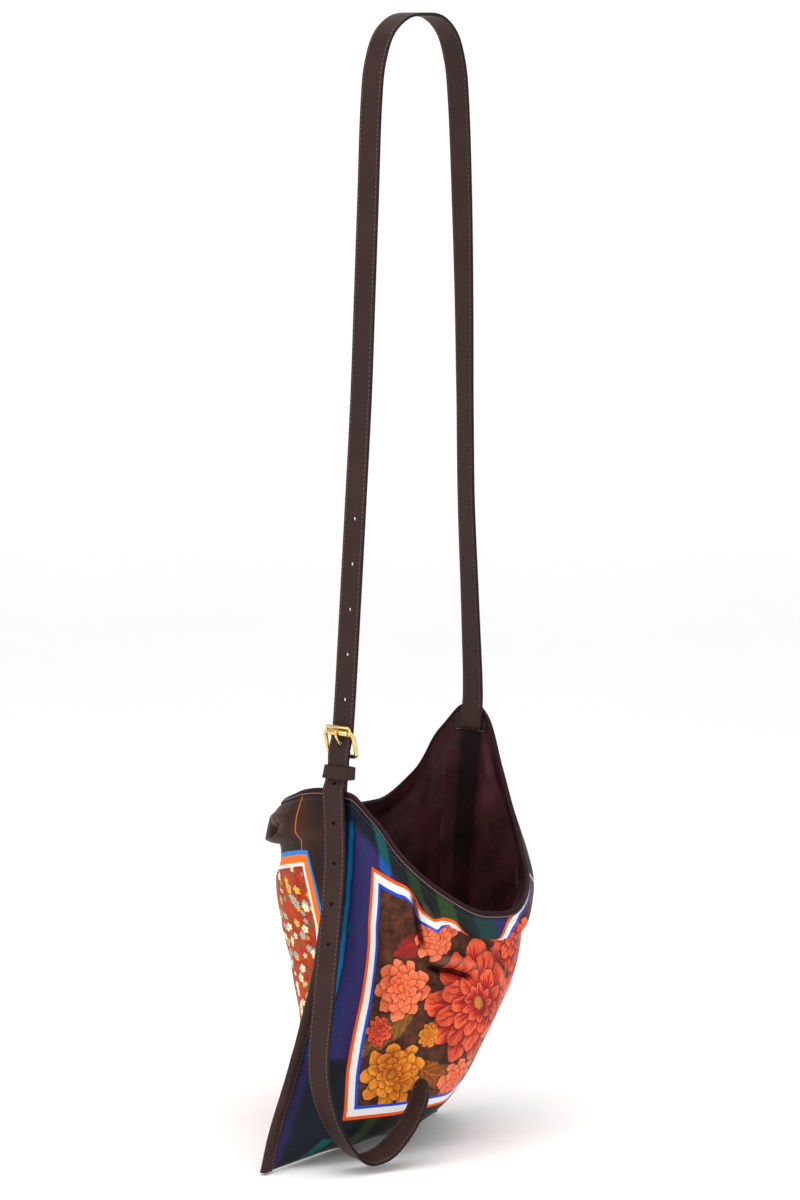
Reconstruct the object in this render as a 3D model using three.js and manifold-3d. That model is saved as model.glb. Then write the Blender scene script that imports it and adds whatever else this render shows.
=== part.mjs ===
// Cloth shoulder bag hanging by one long leather strap.
// Millimetres, +Z up. The origin is the underside of the strap at the top of its arch.
// The front faces -Y, the buckle side is -X, the far side is +X.
import * as THREE from 'three';
import Module from 'manifold-3d';

const wasm = await Module();
wasm.setup();

// Walls and gaps
const GAP = 0.3;
const PANEL_WALL = 1.2;
const LINING_GAP = 0.5;
const LINING_WALL = 1.0;
const LINING_SLACK = 0.4;
const LINING_REACH = 0.955;
const LINING_LEAST = 0.6;
const LINING_CLEAR = 4.4;
const BINDING_WALL = 1.3;
const SEAM_HALF = GAP / 2 + PANEL_WALL;

// Heights of the body
const BOTTOM_Z = -850;
const FOLD_ZONE = 66;
const FOLD_ROWS = 11;
const LOWER_ROWS = 9;
const BODY_COLUMNS = 22;

// Plan of the body at each share t of its height: seam positions, bulges, roundness, seam fin
const LEVELS = [
  { t: 0.0, near: -178, far: 15, front: 0, back: 0, round: 0.0, fin: 8 },
  { t: 0.1, near: -168, far: 34, front: 47, back: 12, round: 0.15, fin: 8 },
  { t: 0.22, near: -151, far: 49, front: 63, back: 25, round: 0.35, fin: 8 },
  { t: 0.36, near: -133, far: 55, front: 75, back: 44, round: 0.6, fin: 8 },
  { t: 0.54, near: -114, far: 59, front: 87, back: 79, round: 0.85, fin: 8 },
  { t: 0.78, near: -103.5, far: 68, front: 98, back: 101, round: 1.0, fin: 4.5 },
  { t: 1.0, near: -99.5, far: 77.2, front: 98, back: 99, round: 1.0, fin: 0.8 },
];

// Height of the rim from the near seam (s = -1) to the far seam (s = 1)
const RIM = [
  { s: -1.0, front: -576, back: -576 },
  { s: -0.92, front: -577.5, back: -576.5 },
  { s: -0.8, front: -594, back: -580 },
  { s: -0.65, front: -620, back: -588 },
  { s: -0.45, front: -647, back: -597 },
  { s: -0.2, front: -667, back: -605 },
  { s: 0.0, front: -670, back: -612 },
  { s: 0.2, front: -662, back: -618 },
  { s: 0.45, front: -640, back: -615 },
  { s: 0.65, front: -613, back: -592.5 },
  { s: 0.8, front: -581, back: -559 },
  { s: 0.92, front: -545, back: -537 },
  { s: 1.0, front: -533.5, back: -533.5 },
];

// Folds across the cloth below the rim: distance along the cloth, push outwards, distance down
const FRONT_CREASE = [
  { along: 0, out: 0.5, down: 0 },
  { along: 8, out: 2.5, down: 7.6 },
  { along: 17, out: 3.5, down: 16.4 },
  { along: 23, out: 1, down: 21.5 },
  { along: 30, out: -5, down: 25 },
  { along: 38, out: -5.5, down: 32 },
  { along: 54, out: -1, down: 52 },
  { along: 72, out: 0, down: 72 },
];
const BACK_ROLL = [
  { along: 0, out: 0, down: 0 },
  { along: 10, out: 6, down: 8 },
  { along: 20, out: 11, down: 19 },
  { along: 28, out: 12, down: 29 },
  { along: 34, out: 7, down: 32 },
  { along: 41, out: 0, down: 33 },
  { along: 54, out: -2, down: 46 },
  { along: 66, out: 1, down: 60 },
  { along: 90, out: 0, down: 90 },
];
const FOLD_SHARE = [
  { s: -1.0, front: 0, back: 0 },
  { s: -0.85, front: 0, back: 0.35 },
  { s: -0.55, front: 0.05, back: 0.9 },
  { s: -0.2, front: 0.6, back: 1 },
  { s: 0.15, front: 1, back: 0.75 },
  { s: 0.5, front: 0.6, back: 0.15 },
  { s: 0.8, front: 0.2, back: 0 },
  { s: 1.0, front: 0, back: 0 },
];

// Lean of the rim inwards over the cloth below it
const RIM_LEAN_ZONE = 18;
const RIM_LEAN_SWELL = 0.4;
const RIM_LEAN = [
  { s: -1.0, front: 0, back: 0 },
  { s: -0.4, front: 0, back: 0.5 },
  { s: 0.0, front: 0, back: 2 },
  { s: 0.3, front: 1, back: 3 },
  { s: 0.5, front: 5, back: 3.5 },
  { s: 0.66, front: 5.2, back: 2.5 },
  { s: 0.8, front: 3.6, back: 1.2 },
  { s: 0.92, front: 1.2, back: 0.3 },
  { s: 1.0, front: 0, back: 0 },
];

// Hanging folds down the cloth: position, spread across, push outwards, share of height they span
const DRAPES = [
  { side: 'front', s: -0.77, spread: 0.09, out: -4, low: 0.25, high: 0.98 },
  { side: 'front', s: -0.6, spread: 0.1, out: 4, low: 0.3, high: 0.95 },
  { side: 'front', s: 0.3, spread: 0.2, out: -3, low: 0.05, high: 0.55 },
  { side: 'back', s: 0.58, spread: 0.1, out: 2, low: 0.35, high: 0.98 },
  { side: 'back', s: 0.83, spread: 0.07, out: -7, low: 0.35, high: 0.98 },
];

// Edging of the mouth
const RIM_EDGE_OUT = 0.9;
const RIM_EDGE_IN = 2.8;
const RIM_EDGE_TALL = 1.7;
const RIM_EDGE_LIFT = 0.7;

// Strap
const STRAP_WIDE = 20;
const STRAP_THICK = 2.6;
const STRAP_STEP = 22;
const STRAP_FINE_STEP = 4;
const STRAP_LEAST_STEP = 2.5;
const STRAP_BEND = 0.24;
const BUCKLE_ZONE = 32;
const STRAP_TIP = 13;
const HOLE_RADIUS = 1.5;
const HOLE_PITCH = 34;
const LOW_HOLE_PITCH = 30.2;
const HOLES_ABOVE_PRONG = 5;
const HOLES_BELOW_PRONG = 5;

// Centre line of the strap, from the far peak over the arch to the tip of the tail
const STRAP_PATH = [
  { x: 69.6, y: 0, z: -552, twist: 0 },
  { x: 70.2, y: 0, z: -541, twist: 0 },
  { x: 71.8, y: 0, z: -526, twist: -3 },
  { x: 67.8, y: 0, z: -450, twist: -10 },
  { x: 62.6, y: 0, z: -370, twist: -14 },
  { x: 60.8, y: 0, z: -293, twist: -14 },
  { x: 59.2, y: 0, z: -216, twist: -9 },
  { x: 56.3, y: 0, z: -139, twist: -3 },
  { x: 51.5, y: 0, z: -63, twist: 0 },
  { x: 47.5, y: 0, z: -36, twist: 0 },
  { x: 37.5, y: 0, z: -13, twist: 0 },
  { x: 20.5, y: 0, z: -0.8, twist: 0 },
  { x: 0, y: 0, z: 1.3, twist: 0 },
  { x: -21, y: 0, z: -0.8, twist: 0 },
  { x: -40, y: 0, z: -13, twist: 0 },
  { x: -51, y: 0, z: -36, twist: 0 },
  { x: -55, y: 0, z: -63, twist: 0 },
  { x: -59.2, y: 0, z: -135, twist: 0 },
  { x: -63.5, y: 0, z: -209, twist: 0 },
  { x: -67.9, y: 0, z: -283, twist: 0 },
  { x: -74.2, y: 0, z: -357, twist: 0 },
  { x: -80.8, y: 0, z: -432, twist: 0 },
  { x: -87.4, y: 0, z: -505, twist: 0 },
  { x: -89.4, y: 0, z: -524, twist: 0 },
  { x: -90.4, y: 0, z: -532, twist: 0 },
  { x: -95.4, y: 0, z: -548.5, twist: 0 },
  { x: -95.6, y: 0, z: -556.4, twist: 0 },
  { x: -98.3, y: 0, z: -566.5, twist: 0 },
  { x: -102.3, y: -0.5, z: -574, twist: 0 },
  { x: -106, y: -4, z: -588, twist: 0 },
  { x: -113.6, y: -11, z: -624, twist: 0 },
  { x: -124.7, y: -16, z: -667, twist: 0 },
  { x: -141.9, y: -23, z: -724, twist: 0 },
  { x: -155.3, y: -29, z: -766, twist: 0 },
  { x: -158, y: -33, z: -787, twist: 0 },
  { x: -154.8, y: -39, z: -810, twist: 6 },
  { x: -146, y: -46, z: -830, twist: 12 },
  { x: -135, y: -53, z: -842, twist: 14 },
  { x: -120, y: -60, z: -840.5, twist: 8 },
  { x: -105, y: -68, z: -826, twist: -4 },
  { x: -95, y: -74, z: -807, twist: -12 },
  { x: -91.5, y: -78, z: -786, twist: -16 },
];

// Buckle: heel bar held by the short strap, toe bar with roller in front of the long strap
const HEEL = new THREE.Vector3(-90.1, 0, -548.8);
const TOE = new THREE.Vector3(-95.3, 0, -530.8);
const FRAME_HALF = 13.4;
const FRAME_WIRE = 1.6;
const FRAME_CORNER = 3.6;
const TOP_BAR_WIRE = 1.15;
const TOP_BAR = [
  { y: 11.2, up: -0.3 },
  { y: 11.0, up: 1.8 },
  { y: 10.4, up: 3.6 },
  { y: 9.6, up: 4.4 },
];
const ROLLER_RADIUS = 2.6;
const ROLLER_LONG = 18.6;
const PRONG_WIRE = 1.1;
const PRONG_TURN = 220;
const PRONG_RISE = [
  { share: 0.3, out: 0.16 },
  { share: 0.6, out: 0.56 },
  { share: 0.85, out: 0.9 },
  { share: 1.0, out: 1.0 },
  { share: 1.1, out: 0.99 },
];
const PRONG_HOLE = { down: -8.3, out: 3.8 };

// Short strap and keeper loop, measured down from the heel bar along the short strap
const SHORT_LEAN = 0.098;
const SHORT_WIDE = 10;
const SHORT_THICK = 3.2;
const SHORT_LOOP = 3.6;
const SHORT_LONG = 42;
const PRONG_SLOT = 4.8;
const KEEPER_WALL = 1.1;
const KEEPER_CORNER = 1.4;
const KEEPER = [
  { down: 8, reach: 7.4 },
  { down: 17.8, reach: 9.7 },
];

// A smooth curve through two columns of a table that never overshoots between rows
function columnCurve(rows, key, value) {
  const xs = rows.map((row) => row[key]);
  const ys = rows.map((row) => row[value]);
  const last = xs.length - 1;
  const grade = xs.slice(1).map((x, i) => (ys[i + 1] - ys[i]) / (x - xs[i]));
  const slope = xs.map((x, i) => {
    const before = grade[Math.max(0, i - 1)];
    const after = grade[Math.min(last - 1, i)];
    return before * after <= 0 ? 0 : (2 * before * after) / (before + after);
  });
  return (x) => {
    let i = 0;
    while (i < last - 1 && x > xs[i + 1]) {
      i += 1;
    }
    const h = xs[i + 1] - xs[i];
    const f = THREE.MathUtils.clamp((x - xs[i]) / h, 0, 1);
    const g = 1 - f;
    const start = g * g * (ys[i] * (1 + 2 * f) + slope[i] * h * f);
    const end = f * f * (ys[i + 1] * (1 + 2 * g) - slope[i + 1] * h * g);
    return start + end;
  };
}

const level = {};
for (const key of ['near', 'far', 'front', 'back', 'round', 'fin']) {
  level[key] = columnCurve(LEVELS, 't', key);
}

function makeSide(name, sign, folds) {
  return {
    name,
    sign,
    rim: columnCurve(RIM, 's', name),
    share: columnCurve(FOLD_SHARE, 's', name),
    lean: columnCurve(RIM_LEAN, 's', name),
    foldOut: columnCurve(folds, 'along', 'out'),
    foldDown: columnCurve(folds, 'along', 'down'),
    foldEnd: folds[folds.length - 1].along,
    drapes: DRAPES.filter((row) => row.side === name),
  };
}

const FRONT = makeSide('front', -1, FRONT_CREASE);
const BACK = makeSide('back', 1, BACK_ROLL);

// Plan of one side at share t of the height, with its outward direction in plan
function planAt(side, s, t) {
  const near = level.near(t);
  const half = (level.far(t) - near) / 2;
  const k = level.round(t);
  const bulge = level[side.name](t);
  const turn = (Math.PI * s) / 2;
  const x = near + half * (1 + (1 - k) * s + k * Math.sin(turn));
  const deep = bulge * ((1 - k) * (1 - s * s) + k * Math.cos(turn));
  const dx = half * (1 - k + ((k * Math.PI) / 2) * Math.cos(turn));
  const dy = side.sign * bulge * (-2 * s * (1 - k) - ((k * Math.PI) / 2) * Math.sin(turn));
  const size = Math.hypot(dx, dy);
  return {
    x,
    y: side.sign * (SEAM_HALF + deep),
    nx: (-side.sign * dy) / size,
    ny: (side.sign * dx) / size,
    dx,
    dy,
  };
}

function drapeOut(side, s, t) {
  let out = 0;
  for (const row of side.drapes) {
    const across = Math.exp(-(((s - row.s) / row.spread) ** 2));
    const rise = THREE.MathUtils.smoothstep(t, row.low, row.low + 0.25);
    const fade = THREE.MathUtils.smoothstep(t, row.high - 0.1, row.high + 0.1);
    out += row.out * across * rise * (1 - 0.5 * fade);
  }
  return out;
}

// Share of the rim's lean, from the rim down to where the swell under it has died away
function leanAt(depth) {
  const over = 1 - THREE.MathUtils.smoothstep(depth, 0, 1);
  const swell = THREE.MathUtils.smoothstep(depth, 0, 1) * (1 - THREE.MathUtils.smoothstep(depth, 1, 3));
  return over - RIM_LEAN_SWELL * swell;
}

// Outer face of a panel: s runs along the seam-to-seam width, v from the bottom to the rim
function clothPoint(side, s, v) {
  const rim = side.rim(s);
  const height = rim - BOTTOM_Z;
  const along = (1 - v) * height;
  const share = along < side.foldEnd ? side.share(s) : 0;
  const down = along + share * (side.foldDown(along) - along);
  const t = 1 - down / height;
  const plan = planAt(side, s, t);
  const seam = 1 - THREE.MathUtils.smoothstep(Math.abs(s), 0.78, 0.94);
  const lean = side.lean(s) * leanAt(along / RIM_LEAN_ZONE);
  const out = share * side.foldOut(along) + drapeOut(side, s, t) * seam - lean;
  return new THREE.Vector3(plan.x + plan.nx * out, plan.y + plan.ny * out, rim - down);
}

function clothNormal(side, s, v) {
  const step = 0.004;
  const across = clothPoint(side, Math.min(1, s + step), v);
  across.sub(clothPoint(side, Math.max(-1, s - step), v));
  const up = clothPoint(side, s, Math.min(1, v + step));
  up.sub(clothPoint(side, s, Math.max(0, v - step)));
  return across.cross(up).multiplyScalar(-side.sign).normalize();
}

function clothInset(side, s, v, depth) {
  const point = clothPoint(side, s, v).addScaledVector(clothNormal(side, s, v), -depth);
  point.y = side.sign * Math.max(GAP / 2, side.sign * point.y);
  return point;
}

// Rows are close together in the zone of the folds under the rim
function rowShares(side, s) {
  const height = side.rim(s) - BOTTOM_Z;
  const zone = FOLD_ZONE / height;
  const shares = [];
  for (let i = 0; i < LOWER_ROWS; i += 1) {
    shares.push(((1 - zone) * i) / LOWER_ROWS);
  }
  for (let i = 0; i <= FOLD_ROWS; i += 1) {
    shares.push(1 - zone * (1 - i / FOLD_ROWS));
  }
  return shares;
}

// Triangle lists
function addQuad(faces, a, b, c, d) {
  faces.push([a, b, c], [a, c, d]);
}

function addGrid(faces, grid, flipped, closed) {
  const wide = grid[0].length;
  for (let i = 0; i + 1 < grid.length; i += 1) {
    for (let j = 0; j < (closed ? wide : wide - 1); j += 1) {
      const k = (j + 1) % wide;
      const quad = [grid[i][j], grid[i][k], grid[i + 1][k], grid[i + 1][j]];
      const [p, q, r, t] = quad;
      addQuad(faces, ...(flipped ? [p, t, r, q] : quad));
    }
  }
}

// Splits each grid cell along the same diagonal on both faces of a wall
function wallFaces(outer, inner) {
  const faces = [];
  addGrid(faces, outer, false, false);
  for (let i = 0; i + 1 < inner.length; i += 1) {
    for (let j = 0; j + 1 < inner[0].length; j += 1) {
      const [a, b, c, d] = [inner[i][j], inner[i][j + 1], inner[i + 1][j + 1], inner[i + 1][j]];
      faces.push([a, c, b], [a, d, c]);
    }
  }
  const top = outer.length - 1;
  const right = outer[0].length - 1;
  const edge = [];
  for (let j = 0; j <= right; j += 1) {
    edge.push([0, j]);
  }
  for (let i = 1; i <= top; i += 1) {
    edge.push([i, right]);
  }
  for (let j = right - 1; j >= 0; j -= 1) {
    edge.push([top, j]);
  }
  for (let i = top - 1; i > 0; i -= 1) {
    edge.push([i, 0]);
  }
  edge.forEach(([i, j], n) => {
    const [p, q] = edge[(n + 1) % edge.length];
    addQuad(faces, outer[p][q], outer[i][j], inner[i][j], inner[p][q]);
  });
  return faces;
}

function meshOf(name, faces, material) {
  let volume = 0;
  for (const [a, b, c] of faces) {
    volume += a.dot(b.clone().cross(c));
  }
  const positions = [];
  for (const [a, b, c] of faces) {
    for (const point of volume < 0 ? [a, c, b] : [a, b, c]) {
      positions.push(point.x, point.y, point.z);
    }
  }
  const geometry = new THREE.BufferGeometry();
  geometry.setAttribute('position', new THREE.Float32BufferAttribute(positions, 3));
  geometry.computeVertexNormals();
  const mesh = new THREE.Mesh(geometry, material);
  mesh.name = name;
  return mesh;
}

// Closed solids for cutting
function solidOf(mesh) {
  const source = mesh.geometry.index ? mesh.geometry.toNonIndexed() : mesh.geometry;
  const positions = source.getAttribute('position');
  const lookup = new Map();
  const vertices = [];
  const triangles = [];
  const point = new THREE.Vector3();
  mesh.updateMatrixWorld(true);
  for (let i = 0; i < positions.count; i += 1) {
    point.fromBufferAttribute(positions, i).applyMatrix4(mesh.matrixWorld);
    const key = point.toArray().map((value) => Math.round(value * 2000)).join();
    if (!lookup.has(key)) {
      lookup.set(key, vertices.length / 3);
      vertices.push(point.x, point.y, point.z);
    }
    triangles.push(lookup.get(key));
  }
  const kept = [];
  for (let i = 0; i < triangles.length; i += 3) {
    const [a, b, c] = triangles.slice(i, i + 3);
    if (a !== b && b !== c && a !== c) {
      kept.push(a, b, c);
    }
  }
  return new wasm.Manifold(new wasm.Mesh({
    numProp: 3,
    vertProperties: new Float32Array(vertices),
    triVerts: new Uint32Array(kept),
  }));
}

function meshFromSolid(solid, mesh) {
  const made = solid.getMesh();
  const geometry = new THREE.BufferGeometry();
  geometry.setAttribute('position', new THREE.Float32BufferAttribute(made.vertProperties, 3));
  geometry.setIndex(new THREE.Uint32BufferAttribute(made.triVerts, 1));
  const flat = geometry.toNonIndexed();
  flat.computeVertexNormals();
  const result = new THREE.Mesh(flat, mesh.material);
  result.name = mesh.name;
  return result;
}

function cutMesh(mesh, cutters) {
  let solid = solidOf(mesh);
  for (const cutter of cutters) {
    solid = solid.subtract(solidOf(cutter));
  }
  return meshFromSolid(solid, mesh);
}

function joinMesh(mesh, other) {
  return meshFromSolid(solidOf(mesh).add(solidOf(other)), mesh);
}

// Materials
function material(color, roughness, metalness) {
  return new THREE.MeshStandardMaterial({ color, roughness, metalness });
}
const FRONT_CLOTH = material(0x3a3f6b, 0.6, 0);
const BACK_CLOTH = material(0x6b3a28, 0.6, 0);
const LINING_CLOTH = material(0x40222a, 0.7, 0);
const LEATHER = material(0x4b3733, 0.55, 0);
const EDGING = material(0x3a2326, 0.6, 0);
const GOLD = material(0xe2c67c, 0.3, 1);

// Panels: columns run from seam to seam, with a flat fin beyond each seam
function seamColumn(side, s, v) {
  const plan = planAt(side, s, v);
  const z = BOTTOM_Z + (side.rim(s) - BOTTOM_Z) * v;
  const end = plan.x + s * level.fin(v);
  const mitre = Math.tan(Math.atan2(Math.abs(plan.dy), plan.dx) / 2) * PANEL_WALL;
  const faceY = side.sign * SEAM_HALF;
  const backY = (side.sign * GAP) / 2;
  return {
    outer: [new THREE.Vector3(end, faceY, z), new THREE.Vector3(plan.x, faceY, z)],
    inner: [new THREE.Vector3(end, backY, z), new THREE.Vector3(plan.x - s * mitre, backY, z)],
  };
}

function panelMesh(side, cloth) {
  const outer = [];
  const inner = [];
  const start = side === FRONT ? -1 : 1;
  for (let i = 0; i <= LOWER_ROWS + FOLD_ROWS; i += 1) {
    const first = seamColumn(side, start, rowShares(side, start)[i]);
    const last = seamColumn(side, -start, rowShares(side, -start)[i]);
    const outerRow = [...first.outer];
    const innerRow = [...first.inner];
    for (let j = 1; j < BODY_COLUMNS; j += 1) {
      const s = start * (1 - (2 * j) / BODY_COLUMNS);
      const v = rowShares(side, s)[i];
      outerRow.push(clothPoint(side, s, v));
      innerRow.push(clothInset(side, s, v, PANEL_WALL));
    }
    outerRow.push(last.outer[1], last.outer[0]);
    innerRow.push(last.inner[1], last.inner[0]);
    outer.push(outerRow);
    inner.push(innerRow);
  }
  return meshOf(side.name + '_panel', wallFaces(outer, inner), cloth);
}

// Lining: an open tub inside both panels, with a narrow floor
function liningEnd(s, t) {
  let reach = LINING_REACH;
  const depth = (side) => Math.abs(planAt(side, s * reach, t).y);
  while (Math.min(depth(FRONT), depth(BACK)) < LINING_CLEAR && reach > LINING_LEAST) {
    reach -= 0.01;
  }
  return reach;
}

function liningMesh() {
  const depths = [PANEL_WALL + LINING_GAP, PANEL_WALL + LINING_GAP + LINING_WALL];
  const rings = depths.map(() => []);
  for (let i = 1; i <= LOWER_ROWS + FOLD_ROWS; i += 1) {
    const rows = depths.map(() => []);
    for (const side of [FRONT, BACK]) {
      const start = side === FRONT ? -1 : 1;
      for (let j = 1; j < BODY_COLUMNS; j += 1) {
        const base = start * (1 - (2 * j) / BODY_COLUMNS);
        const reach = liningEnd(Math.sign(base), rowShares(side, base)[i]);
        const s = THREE.MathUtils.clamp(base, -reach, reach);
        depths.forEach((depth, n) => {
          const slack = LINING_SLACK * THREE.MathUtils.smoothstep(Math.abs(s), 0.85, LINING_REACH);
          const point = clothInset(side, s, rowShares(side, s)[i], depth + slack);
          if (i === 1) {
            point.z += (depth - depths[0]) * 0.9;
          }
          rows[n].push(point);
        });
      }
    }
    rows.forEach((row, n) => rings[n].push(row));
  }
  const [outer, inner] = rings;
  const faces = [];
  addGrid(faces, outer, false, true);
  for (let i = 0; i + 1 < inner.length; i += 1) {
    inner[i].forEach((a, j) => {
      const k = (j + 1) % inner[i].length;
      faces.push([a, inner[i + 1][k], inner[i][k]], [a, inner[i + 1][j], inner[i + 1][k]]);
    });
  }
  const top = outer.length - 1;
  const count = outer[0].length;
  for (let j = 0; j < count; j += 1) {
    const k = (j + 1) % count;
    addQuad(faces, outer[top][j], outer[top][k], inner[top][k], inner[top][j]);
  }
  for (let j = 0; j + 1 < count / 2; j += 1) {
    const [a, b] = [j, j + 1];
    const [c, d] = [count - 2 - j, count - 1 - j];
    addQuad(faces, outer[0][b], outer[0][a], outer[0][d], outer[0][c]);
    addQuad(faces, inner[0][a], inner[0][b], inner[0][c], inner[0][d]);
  }
  return meshOf('lining', faces, LINING_CLOTH);
}

// Side bindings: leather folded round the seam fin
function sideBindingMesh(name, s, lowest, highest) {
  const outer = [];
  const inner = [];
  const rows = 14;
  const fold = SEAM_HALF + GAP;
  for (let i = 0; i <= rows; i += 1) {
    const v = lowest + ((highest - lowest) * i) / rows;
    const z = BOTTOM_Z + (FRONT.rim(s) - BOTTOM_Z) * v;
    const root = planAt(FRONT, s, v).x + s * 0.5;
    const end = planAt(FRONT, s, v).x + s * (level.fin(v) + 2 * GAP);
    const far = end + s * BINDING_WALL;
    const channel = (tip, y) => [
      new THREE.Vector3(root, -s * y, z),
      new THREE.Vector3(tip, -s * y, z),
      new THREE.Vector3(tip, s * y, z),
      new THREE.Vector3(root, s * y, z),
    ];
    outer.push(channel(far, fold + BINDING_WALL));
    inner.push(channel(end, fold));
  }
  return meshOf(name, wallFaces(outer, inner), LEATHER);
}

// Edging: a closed strip on top of the rim, above the panels and the lining
function rimEdgeMesh() {
  const sections = [];
  for (const side of [FRONT, BACK]) {
    const start = side === FRONT ? -1 : 1;
    for (let j = 0; j <= BODY_COLUMNS; j += 1) {
      const s = start * (1 - (2 * j) / BODY_COLUMNS);
      const base = clothPoint(side, s, 1);
      const out = clothNormal(side, s, 1);
      const up = base.clone().sub(clothPoint(side, s, 0.985)).normalize();
      const corner = (a, b) => base.clone().addScaledVector(out, a).addScaledVector(up, b);
      sections.push([
        corner(RIM_EDGE_OUT, RIM_EDGE_LIFT),
        corner(RIM_EDGE_OUT, RIM_EDGE_LIFT + RIM_EDGE_TALL),
        corner(-RIM_EDGE_IN, RIM_EDGE_LIFT + RIM_EDGE_TALL),
        corner(-RIM_EDGE_IN, RIM_EDGE_LIFT),
      ]);
    }
  }
  const faces = [];
  addGrid(faces, [...sections, sections[0]], false, true);
  return meshOf('rim_binding', faces, EDGING);
}

// Strap: a flat band along its path, with buckle holes and a pointed tip
const strapLine = new THREE.CatmullRomCurve3(
  STRAP_PATH.map((row) => new THREE.Vector3(row.x, row.y, row.z)),
  false,
  'centripetal',
);
const strapLength = strapLine.getLength();

function strapFrame(length) {
  const u = THREE.MathUtils.clamp(length / strapLength, 0, 1);
  const centre = strapLine.getPointAt(u);
  const along = strapLine.getTangentAt(u);
  const place = strapLine.getUtoTmapping(u) * (STRAP_PATH.length - 1);
  const row = Math.min(STRAP_PATH.length - 2, Math.floor(place));
  const twist = THREE.MathUtils.lerp(STRAP_PATH[row].twist, STRAP_PATH[row + 1].twist, place - row);
  const wide = new THREE.Vector3(0, 1, 0);
  wide.addScaledVector(along, -wide.dot(along)).normalize();
  wide.applyAxisAngle(along, THREE.MathUtils.degToRad(twist));
  const face = along.clone().cross(wide);
  return { centre, along, wide, face };
}

function strapStations() {
  const stations = [0];
  while (stations[stations.length - 1] < strapLength - STRAP_TIP) {
    const here = stations[stations.length - 1];
    const fitting = strapFrame(here).centre.distanceTo(HEEL) < BUCKLE_ZONE;
    let step = fitting ? STRAP_FINE_STEP : STRAP_STEP;
    const bend = () => strapFrame(here).along.angleTo(strapFrame(here + step).along);
    while (bend() > STRAP_BEND && step > STRAP_LEAST_STEP) {
      step *= 0.8;
    }
    stations.push(Math.min(strapLength - STRAP_TIP, here + step));
  }
  return [...stations, strapLength - STRAP_TIP * 0.5, strapLength - STRAP_TIP * 0.15, strapLength];
}

function strapHalf(length) {
  const left = (strapLength - length) / STRAP_TIP;
  if (left >= 1) {
    return STRAP_WIDE / 2;
  }
  return (STRAP_WIDE / 2) * (0.2 + 0.8 * Math.sqrt(1 - (1 - left) ** 2));
}

function strapMesh() {
  const outer = [];
  const inner = [];
  for (const length of strapStations()) {
    const { centre, wide, face } = strapFrame(length);
    const half = strapHalf(length);
    const corner = (a, b) => centre.clone().addScaledVector(wide, a).addScaledVector(face, b);
    outer.push([corner(-half, STRAP_THICK / 2), corner(half, STRAP_THICK / 2)]);
    inner.push([corner(-half, -STRAP_THICK / 2), corner(half, -STRAP_THICK / 2)]);
  }
  return meshOf('strap', wallFaces(outer, inner), LEATHER);
}

function lengthNear(point) {
  let best = 0;
  let least = Infinity;
  for (let length = strapLength * 0.5; length < strapLength; length += 0.5) {
    const away = strapFrame(length).centre.distanceTo(point);
    if (away < least) {
      least = away;
      best = length;
    }
  }
  return best;
}

function holeCutter(length) {
  const { centre, face } = strapFrame(length);
  const cutter = new THREE.Mesh(new THREE.CylinderGeometry(HOLE_RADIUS, HOLE_RADIUS, 8, 10));
  cutter.position.copy(centre);
  cutter.quaternion.setFromUnitVectors(new THREE.Vector3(0, 1, 0), face);
  return cutter;
}

// Buckle axes: down the short strap, and outwards from the bag
const shortDown = new THREE.Vector3(-SHORT_LEAN, 0, -Math.sqrt(1 - SHORT_LEAN ** 2));
const shortOut = new THREE.Vector3(shortDown.z, 0, -shortDown.x);

function shortPoint(down, out, y) {
  const point = HEEL.clone().addScaledVector(shortDown, down).addScaledVector(shortOut, out);
  return point.setY(y);
}

// A round rod along a row of points, open with flat ends or closed into a ring
function rodMesh(name, points, radius, sides, closed, finish, inFrame = closed) {
  const sections = points.map((point, i) => {
    const count = points.length;
    const before = closed ? points[(i + count - 1) % count] : points[Math.max(0, i - 1)];
    const after = closed ? points[(i + 1) % count] : points[Math.min(count - 1, i + 1)];
    const along = after.clone().sub(before).normalize();
    const across = new THREE.Vector3(0, 1, 0);
    const flat = along.clone().cross(across).normalize();
    const plane = inFrame ? TOE.clone().sub(HEEL).cross(across).normalize() : flat;
    const second = along.clone().cross(plane).normalize();
    const ring = [];
    for (let n = 0; n < sides; n += 1) {
      const angle = (2 * Math.PI * (n + 0.5)) / sides;
      ring.push(point.clone()
        .addScaledVector(plane, radius * Math.cos(angle))
        .addScaledVector(second, radius * Math.sin(angle)));
    }
    return ring;
  });
  const faces = [];
  addGrid(faces, closed ? [...sections, sections[0]] : sections, false, true);
  if (!closed) {
    const ends = sections[sections.length - 1];
    for (let n = 1; n + 1 < sides; n += 1) {
      faces.push([sections[0][0], sections[0][n + 1], sections[0][n]]);
      faces.push([ends[0], ends[n], ends[n + 1]]);
    }
  }
  return meshOf(name, faces, finish);
}

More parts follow.
